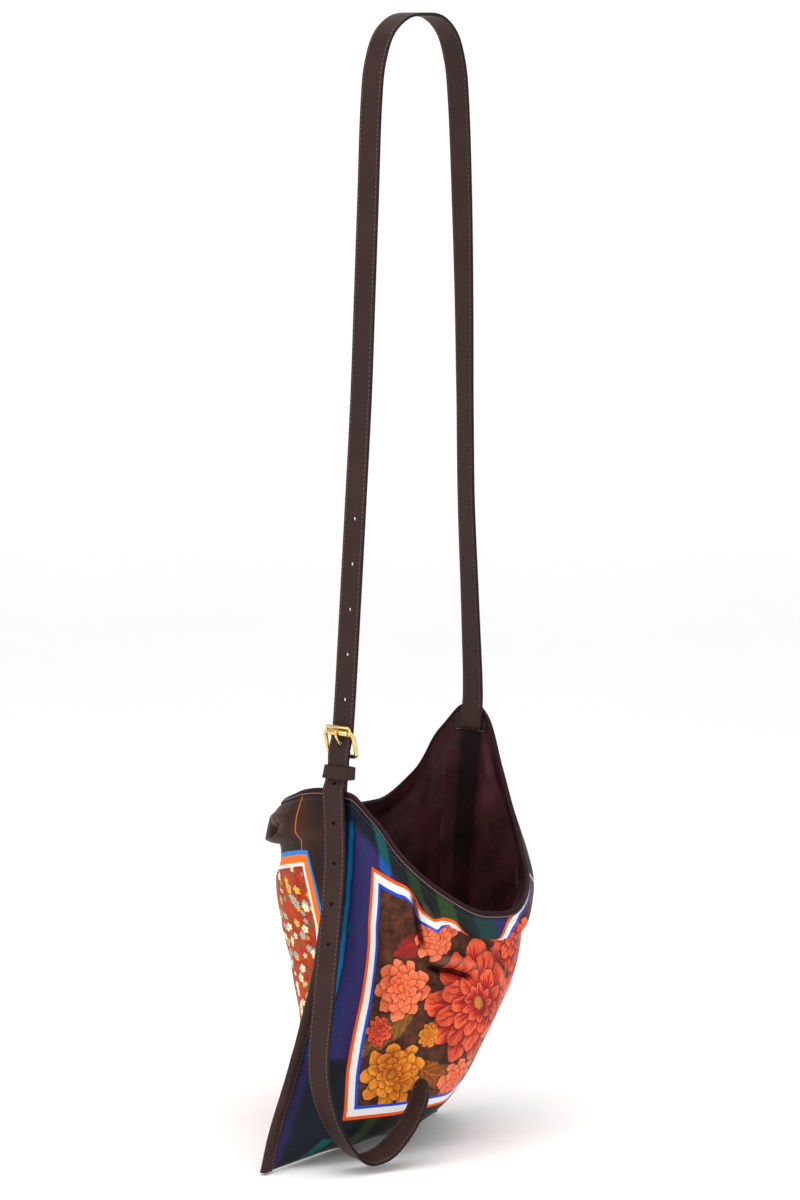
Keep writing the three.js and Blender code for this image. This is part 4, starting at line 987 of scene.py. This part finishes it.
def strap_frame(where):
    """Middle, direction, width and face of the strap at the lengths given."""
    where = np.atleast_1d(np.asarray(where, float))
    centre, ahead, behind = (between(where + d, LENGTH, LINE) for d in (0.0, 0.8, -0.8))
    along = unit(ahead - behind)
    wide = unit(np.array([0.0, 1.0, 0.0]) - along * along[:, 1:2])
    angle = np.radians(np.interp(where, LENGTH, TURNS))[:, None]
    wide = wide * np.cos(angle) + np.cross(along, wide) * np.sin(angle)
    return centre, along, wide, np.cross(along, wide)


def strap_half(where):
    left = np.clip((STRAP_LONG - where) / STRAP_TIP, 0, 1)
    return STRAP_HALF * (0.2 + 0.8 * np.sqrt(1 - (1 - left) ** 2))


def short_point(down, out, y):
    p = HEEL + SHORT_DOWN * down + SHORT_OUT * out
    return np.array([p[0], y, p[2]])


def strap_piece(holes, slot):
    """The strap with its holes cut through: verts, faces and UV."""
    marks = sorted([(h, HOLE_RADIUS, HOLE_RADIUS) for h in holes] + [(slot, *PRONG_SLOT)])
    stations = list(np.arange(0, STRAP_LONG - STRAP_TIP, 3.6))
    stations += [STRAP_LONG - STRAP_TIP * f for f in TIP_STATIONS]
    for h, _, _ in marks:
        stations = [x for x in stations if abs(x - h) > 5.2] + [h - 4, h - 2, h, h + 2, h + 4]
    stations = np.array(sorted(stations))
    centre, _, wide, face = strap_frame(stations)
    half = strap_half(stations) / STRAP_HALF
    top = np.array(COLUMNS, float)
    profile = np.concatenate([top, top[1:-1][::-1] * (1, -1)])
    cols = len(profile)
    across = profile[None, :, :1] * half[:, None, None]
    verts = centre[:, None] + across * wide[:, None] + profile[None, :, 1:2] * face[:, None]
    verts = list(map(tuple, verts.reshape(-1, 3)))
    uv = [(profile[j, 0] * half[i], stations[i]) for i in range(len(stations)) for j in range(cols)]
    first = [w for w, _ in COLUMNS].index(-4)
    under = cols - first - HOLE_PATCH
    patch = range(HOLE_PATCH)
    begins = [int(np.argmin(np.abs(stations - (h - 4)))) for h, _, _ in marks]
    blocked = {(i + k, b + j) for i in begins for b in (first, under) for k in patch for j in patch}
    every = tube_faces(len(stations), cols)
    faces = [f for n, f in enumerate(every) if divmod(n, cols) not in blocked]
    for i, (h, half_wide, half_long) in zip(begins, marks):
        rings = []
        for begin, level in ((first, 1), (under, -1)):
            ring = [(i, begin + j) for j in range(5)] + [(i + k, begin + 4) for k in range(1, 5)]
            ring += [(i + 4, begin + j) for j in range(3, -1, -1)] + [(i + k, begin) for k in range(3, 0, -1)]
            loops = [[a * cols + b for a, b in ring]]
            for grow, sink in ((1.35, 0.02), (1.08, 0.06), (1.0, 0.25)):
                loop = []
                for index in loops[0]:
                    angle = math.atan2(uv[index][1] - h, uv[index][0])
                    w, l = half_wide * grow * math.cos(angle), half_long * grow * math.sin(angle)
                    c, _, x, f = strap_frame(h + l)
                    loop.append(len(verts))
                    verts.append(tuple(c[0] + x[0] * w + f[0] * level * (STRAP_THICK / 2 - sink)))
                    uv.append((w, h + l))
                loops.append(loop)
            for p, q in zip(loops, loops[1:]):
                faces += [(p[n], p[n - 15], q[n - 15], q[n]) for n in range(16)]
            rings.append(loops[-1])
        upper, lower = rings
        squash = half_long / half_wide
        angle = {n: math.atan2(uv[n][1] - h, uv[n][0] * squash) for n in upper + lower}
        turn = {n: round(math.degrees(a), 1) % 360 for n, a in angle.items()}
        match = [min(lower, key=lambda n: abs((turn[n] - turn[u] + 180) % 360 - 180)) for u in upper]
        faces += [(upper[n], upper[n - 15], match[n - 15], match[n]) for n in range(16)]
    return np.array(verts), faces, np.array(uv)


spots = np.linspace(STRAP_LONG * 0.5, STRAP_LONG, 4000)
off_prong = np.linalg.norm(strap_frame(spots)[0] - short_point(-8.3, 3.8, 0), axis=1)
prong_hole = float(spots[np.argmin(off_prong)])
holes = [prong_hole + n * (HOLE_PITCH if n < 0 else LOW_HOLE_PITCH) for n in range(-5, 6) if n != 0]
verts, faces, uv = strap_piece(holes, prong_hole)
add("strap_leather", verts, turn_out(verts, faces), STRAP_LEATHER, "leather", "strap", uvs={"strap": uv})

stops = np.arange(16, STRAP_LONG - 3, 1.2)
centre, _, wide, face = strap_frame(stops)
inset = (STITCH_INSET * strap_half(stops) / STRAP_HALF)[:, None]
strap_lines = [
    stitch_line(centre + wide * edge * inset + face * level * 1.12, face * level, 3.5, 0.74)
    for level in (1, -1) for edge in (-1, 1)]
sew("strap_stitches", strap_lines, 0.3, LEATHER_THREAD, "leather", 5)


# Buckle
def corners(half_a, half_b, radius, steps, starts, turn):
    """Points of a rounded rectangle round 0, 0, a corner at a time, in the order of the starting angles."""
    points = []
    for (sa, sb), start in starts:
        for i in range(steps + 1):
            angle = math.radians(start + turn * 90 * i / steps)
            points.append((sa * (half_a - radius) + radius * math.cos(angle),
                           sb * (half_b - radius) + radius * math.sin(angle)))
    return points


def rod(points, radius, sides, closed=False, plane=None):
    """A round bar along points; plane is a direction at right angles to a flat path."""
    radius = np.broadcast_to(radius, len(points))
    if closed:
        along = unit(np.roll(points, -1, 0) - np.roll(points, 1, 0))
    else:
        along = unit(np.gradient(points, axis=0))
    a = np.tile(plane, (len(points), 1)) if plane is not None else unit(np.cross(along, (0, 1, 0)))
    angle = np.arange(sides) * 2 * np.pi / sides
    profile = radius[:, None, None] * np.stack([np.cos(angle), np.sin(angle)], -1)[None]
    return sweep(points, (a, np.cross(along, a)), profile, closed_path=closed)


def buckle_frame():
    toe_way = unit(TOE - HEEL)
    flat_way = unit(np.cross(TOE - HEEL, (0, 1, 0)))
    half_long = np.linalg.norm(HEEL - TOE) / 2
    starts = (((-1, -1), 270), ((-1, 1), 180), ((1, 1), 90), ((1, -1), 0))
    outline = corners(half_long, FRAME_HALF, FRAME_CORNER, 10, starts, -1)
    ring = np.array([TOE - toe_way * (half_long + a) + np.array([0, y, 0]) for a, y in outline])
    verts, faces = rod(ring, FRAME_WIRE, 24, True, flat_way)
    left = [TOE + toe_way * up - np.array([0, y, 0]) for y, up in TOP_BAR]
    bar = np.array(left + [p * (1, -1, 1) for p in reversed(left)])
    more, more_faces = rod(bar, TOP_BAR_WIRE, 16, False, flat_way)
    faces = turn_out(verts, faces) + [tuple(i + len(verts) for i in f) for f in turn_out(more, more_faces)]
    add("buckle_frame_gold", np.concatenate([verts, more]), faces, GOLD, "gold", "buckle_frame")


def buckle_roller():
    bore, half, edge = FRAME_WIRE + GAP, ROLLER_LONG / 2, ROLLER_RADIUS
    start = [(bore, -half), (bore + 0.2, -half), (edge - 0.25, -half),
             (edge - 0.06, 0.1 - half), (edge, 0.35 - half)]
    outline = start + [(r, -y) for r, y in reversed(start[2:])] + [(bore, half)]
    sides, n = 48, len(outline)
    angle = np.arange(sides + 1) * 2 * np.pi / sides
    turned = [(r * math.cos(a), y, r * math.sin(a)) for a in angle[:-1] for r, y in outline]
    verts = TOE + np.array(turned)
    faces = [tuple(i % len(verts) for i in f) for f in grid_faces(sides + 1, n, closed=True)]
    add("buckle_roller_gold", verts, turn_out(verts, faces), GOLD, "gold", "buckle_roller")


def buckle_prong():
    turn = FRAME_WIRE + GAP + PRONG_WIRE
    angles = [math.radians(-PRONG_TURN + PRONG_TURN * i / 23 + 15) for i in range(24)]
    points = [short_point(-turn * math.cos(a), -turn * math.sin(a), 0) for a in angles]
    toe_down, toe_out = np.dot(TOE - HEEL, SHORT_DOWN), np.dot(TOE - HEEL, SHORT_OUT)
    rest = toe_out + ROLLER_RADIUS + GAP + PRONG_WIRE
    rise = curve([(0.14, 0.0), (0.3, 0.16), (0.6, 0.56), (0.85, 0.9), (1.0, 1.0), (1.1, 0.99)])
    points += [short_point(toe_down * share, rest * rise(share), 0) for share in np.linspace(0.3, 1.1, 16)]
    thick = np.full(len(points), PRONG_WIRE)
    thick[-3:] = (0.85, 0.72, 0.42)
    verts, faces = rod(np.array(points), thick, 16)
    add("buckle_prong_gold", verts, turn_out(verts, faces), GOLD, "gold", "buckle_prong")


def short_strap():
    """Short strap round the heel bar, wider on one side below the keeper, where the tail hides it."""
    half = SHORT_THICK / 2
    begin = math.asin(half / SHORT_LOOP)
    angles = [begin + (2 * math.pi - 2 * begin) * i / 32 for i in range(33)]
    legs = [(SHORT_LOOP + (SHORT_LONG - SHORT_LOOP) * i / 21, -half) for i in range(1, 22)]
    outline = [(SHORT_LOOP * math.cos(a), SHORT_LOOP * math.sin(a)) for a in angles] + legs
    outline += [(SHORT_LONG, -0.06), (SHORT_LONG - 1.0, 0.0), (SHORT_LONG, 0.06)] + mirrored(legs)
    outline = np.array(outline)
    tangent = np.roll(outline, -1, 0) - np.roll(outline, 1, 0)
    side_way = unit(np.stack([tangent[:, 1], -tangent[:, 0]], -1))
    edge = [(1, 0.45), (0.985, 0.2), (0.95, 0.06), (0.85, 0), (0.5, 0)]  # share of the half width, inset
    rows = [(-share, inset) for share, inset in edge] + [(0, 0)] + edge[::-1]
    verts = []
    for share, inset in rows:
        y = share * SHORT_WIDE / 2
        for down, out in outline - side_way * inset:
            verts.append(short_point(down, out, y * (1 + 0.5 * smooth(down, 18.4, 22) * (y > 0))))
    verts = np.array(verts)
    faces = turn_out(verts, tube_faces(len(rows), len(outline)))
    add("buckle_strap_leather", verts, faces, TRIM_LEATHER, "leather", "buckle_strap")


def strap_keeper():
    edge = [(0.0, 0.35), (0.0, 0.5), (0.015, 0.8), (0.05, 0.96), (0.1, 1.0), (0.3, 1.0), (0.5, 1.0)]
    outline = edge + [(1 - f, t) for f, t in reversed(edge[:-1])]
    outline += [(0.98, 0.05), (0.95, 0.0), (0.5, 0.0), (0.05, 0.0), (0.02, 0.05)]
    (down_0, reach_0), (down_1, reach_1) = KEEPER
    low = -SHORT_THICK / 2 - GAP
    starts = (((-1, -1), 180), ((1, -1), 270), ((1, 1), 0), ((-1, 1), 90))
    rings = []
    for f, t in outline:
        grow = KEEPER_WALL * t
        down, reach = down_0 + (down_1 - down_0) * f, reach_0 + (reach_1 - reach_0) * f
        half_wide, half_high = STRAP_HALF + 2 * GAP + grow, (reach - low) / 2 + grow
        ring = corners(half_wide, half_high, KEEPER_CORNER + grow, 8, starts, 1)
        rings += [short_point(down, out + (reach + low) / 2, y) for y, out in ring]
    verts = np.array(rings)
    cols = len(rings) // len(outline)
    faces = [tuple(i % len(verts) for i in f) for f in grid_faces(len(outline) + 1, cols, closed=True)]
    add("strap_keeper_leather", verts, turn_out(verts, faces), TRIM_LEATHER, "leather", "strap_keeper")


buckle_frame()
buckle_roller()
buckle_prong()
short_strap()
strap_keeper()

# Stage, light and camera
AZIMUTH, ELEVATION = math.radians(-52.0), math.radians(8.5)
CAMERA = (-2.3453, -1.8162, 0.0016)
SENSOR, FOCAL_PIXELS, PICTURE_HIGH = 36.0, 3922.0, 1200.0
TARGET = (-0.05, 0, -0.6)
LIGHTS = [  # name, place, size, power
    ("top", (-0.3, -0.2, 2.2), (2.4, 2.4), 52), ("left", (-2.6, 0.9, 0.6), (1.4, 2.0), 26),
    ("right", (-0.4, -2.8, 0.5), (1.4, 2.0), 26)]
WORLD_LIGHT = 0.62
FLOOR_NEAR, BEND_START, BEND_RADIUS, WALL_TOP, FLOOR_HALF = -7000, 4300, 1400, 7000, 9000


def stage():
    """A pale floor that bends up into a softly lit wall far behind the bag."""
    m = Shade("pale_floor")
    place = m.place()
    colour = m.mix(m.noise(place, 0.004, 2.0), rgb(247, 247, 247), rgb(251, 251, 251))
    ahead = np.array([-math.sin(AZIMUTH), math.cos(AZIMUTH), 0])
    x, y, _ = m.split(place)
    lit = m.step(x * float(ahead[0]) + y * float(ahead[1]), 1200.0, 4600.0) * 0.24
    paper = m.finish(Base_Color=colour, Roughness=0.8, Normal=m.bump(m.noise(place, 0.8, 2.0), 0.02, 0.0002),
                     Emission_Color=(1, 1, 1, 1), Emission_Strength=lit)
    bend = [(BEND_START + BEND_RADIUS * math.sin(a), BEND_RADIUS * (1 - math.cos(a)))
            for a in np.linspace(0, math.pi / 2, 24)]
    profile = [(FLOOR_NEAR, 0)] + bend + [(BEND_START + BEND_RADIUS, WALL_TOP)]
    across = np.array([ahead[1], -ahead[0], 0])
    sides = np.linspace(-FLOOR_HALF, FLOOR_HALF, 5)
    up = np.array([0, 0, 1])
    verts = [ahead * far + across * w + up * (high + FLOOR_Z) for far, high in profile for w in sides]
    make("floor", np.array(verts), grid_faces(len(profile), len(sides)), paper)


def aimed(name, data, place, way):
    obj = bpy.data.objects.new(name, data)
    obj.location = place
    obj.rotation_mode = "QUATERNION"
    obj.rotation_quaternion = way.to_track_quat("-Z", "Y")
    bpy.context.scene.collection.objects.link(obj)
    return obj


stage()
world = bpy.data.worlds.new("studio")
world.use_nodes = True
world.node_tree.nodes["Background"].inputs[0].default_value = (1, 1, 1, 1)
world.node_tree.nodes["Background"].inputs[1].default_value = WORLD_LIGHT
bpy.context.scene.world = world
for name, place, size, power in LIGHTS:
    light = bpy.data.lights.new(name, "AREA")
    light.shape = "RECTANGLE"
    light.size, light.size_y = size
    light.energy = power
    aimed(name, light, place, Vector(TARGET) - Vector(place))

lens = bpy.data.cameras.new("camera")
lens.sensor_width = SENSOR
lens.lens = SENSOR * FOCAL_PIXELS / PICTURE_HIGH
flat_share = math.cos(ELEVATION)
view_way = Vector((-math.sin(AZIMUTH) * flat_share, math.cos(AZIMUTH) * flat_share, -math.sin(ELEVATION)))
bpy.context.scene.camera = aimed("camera", lens, CAMERA, view_way)
bpy.context.scene.view_settings.view_transform = "Standard"
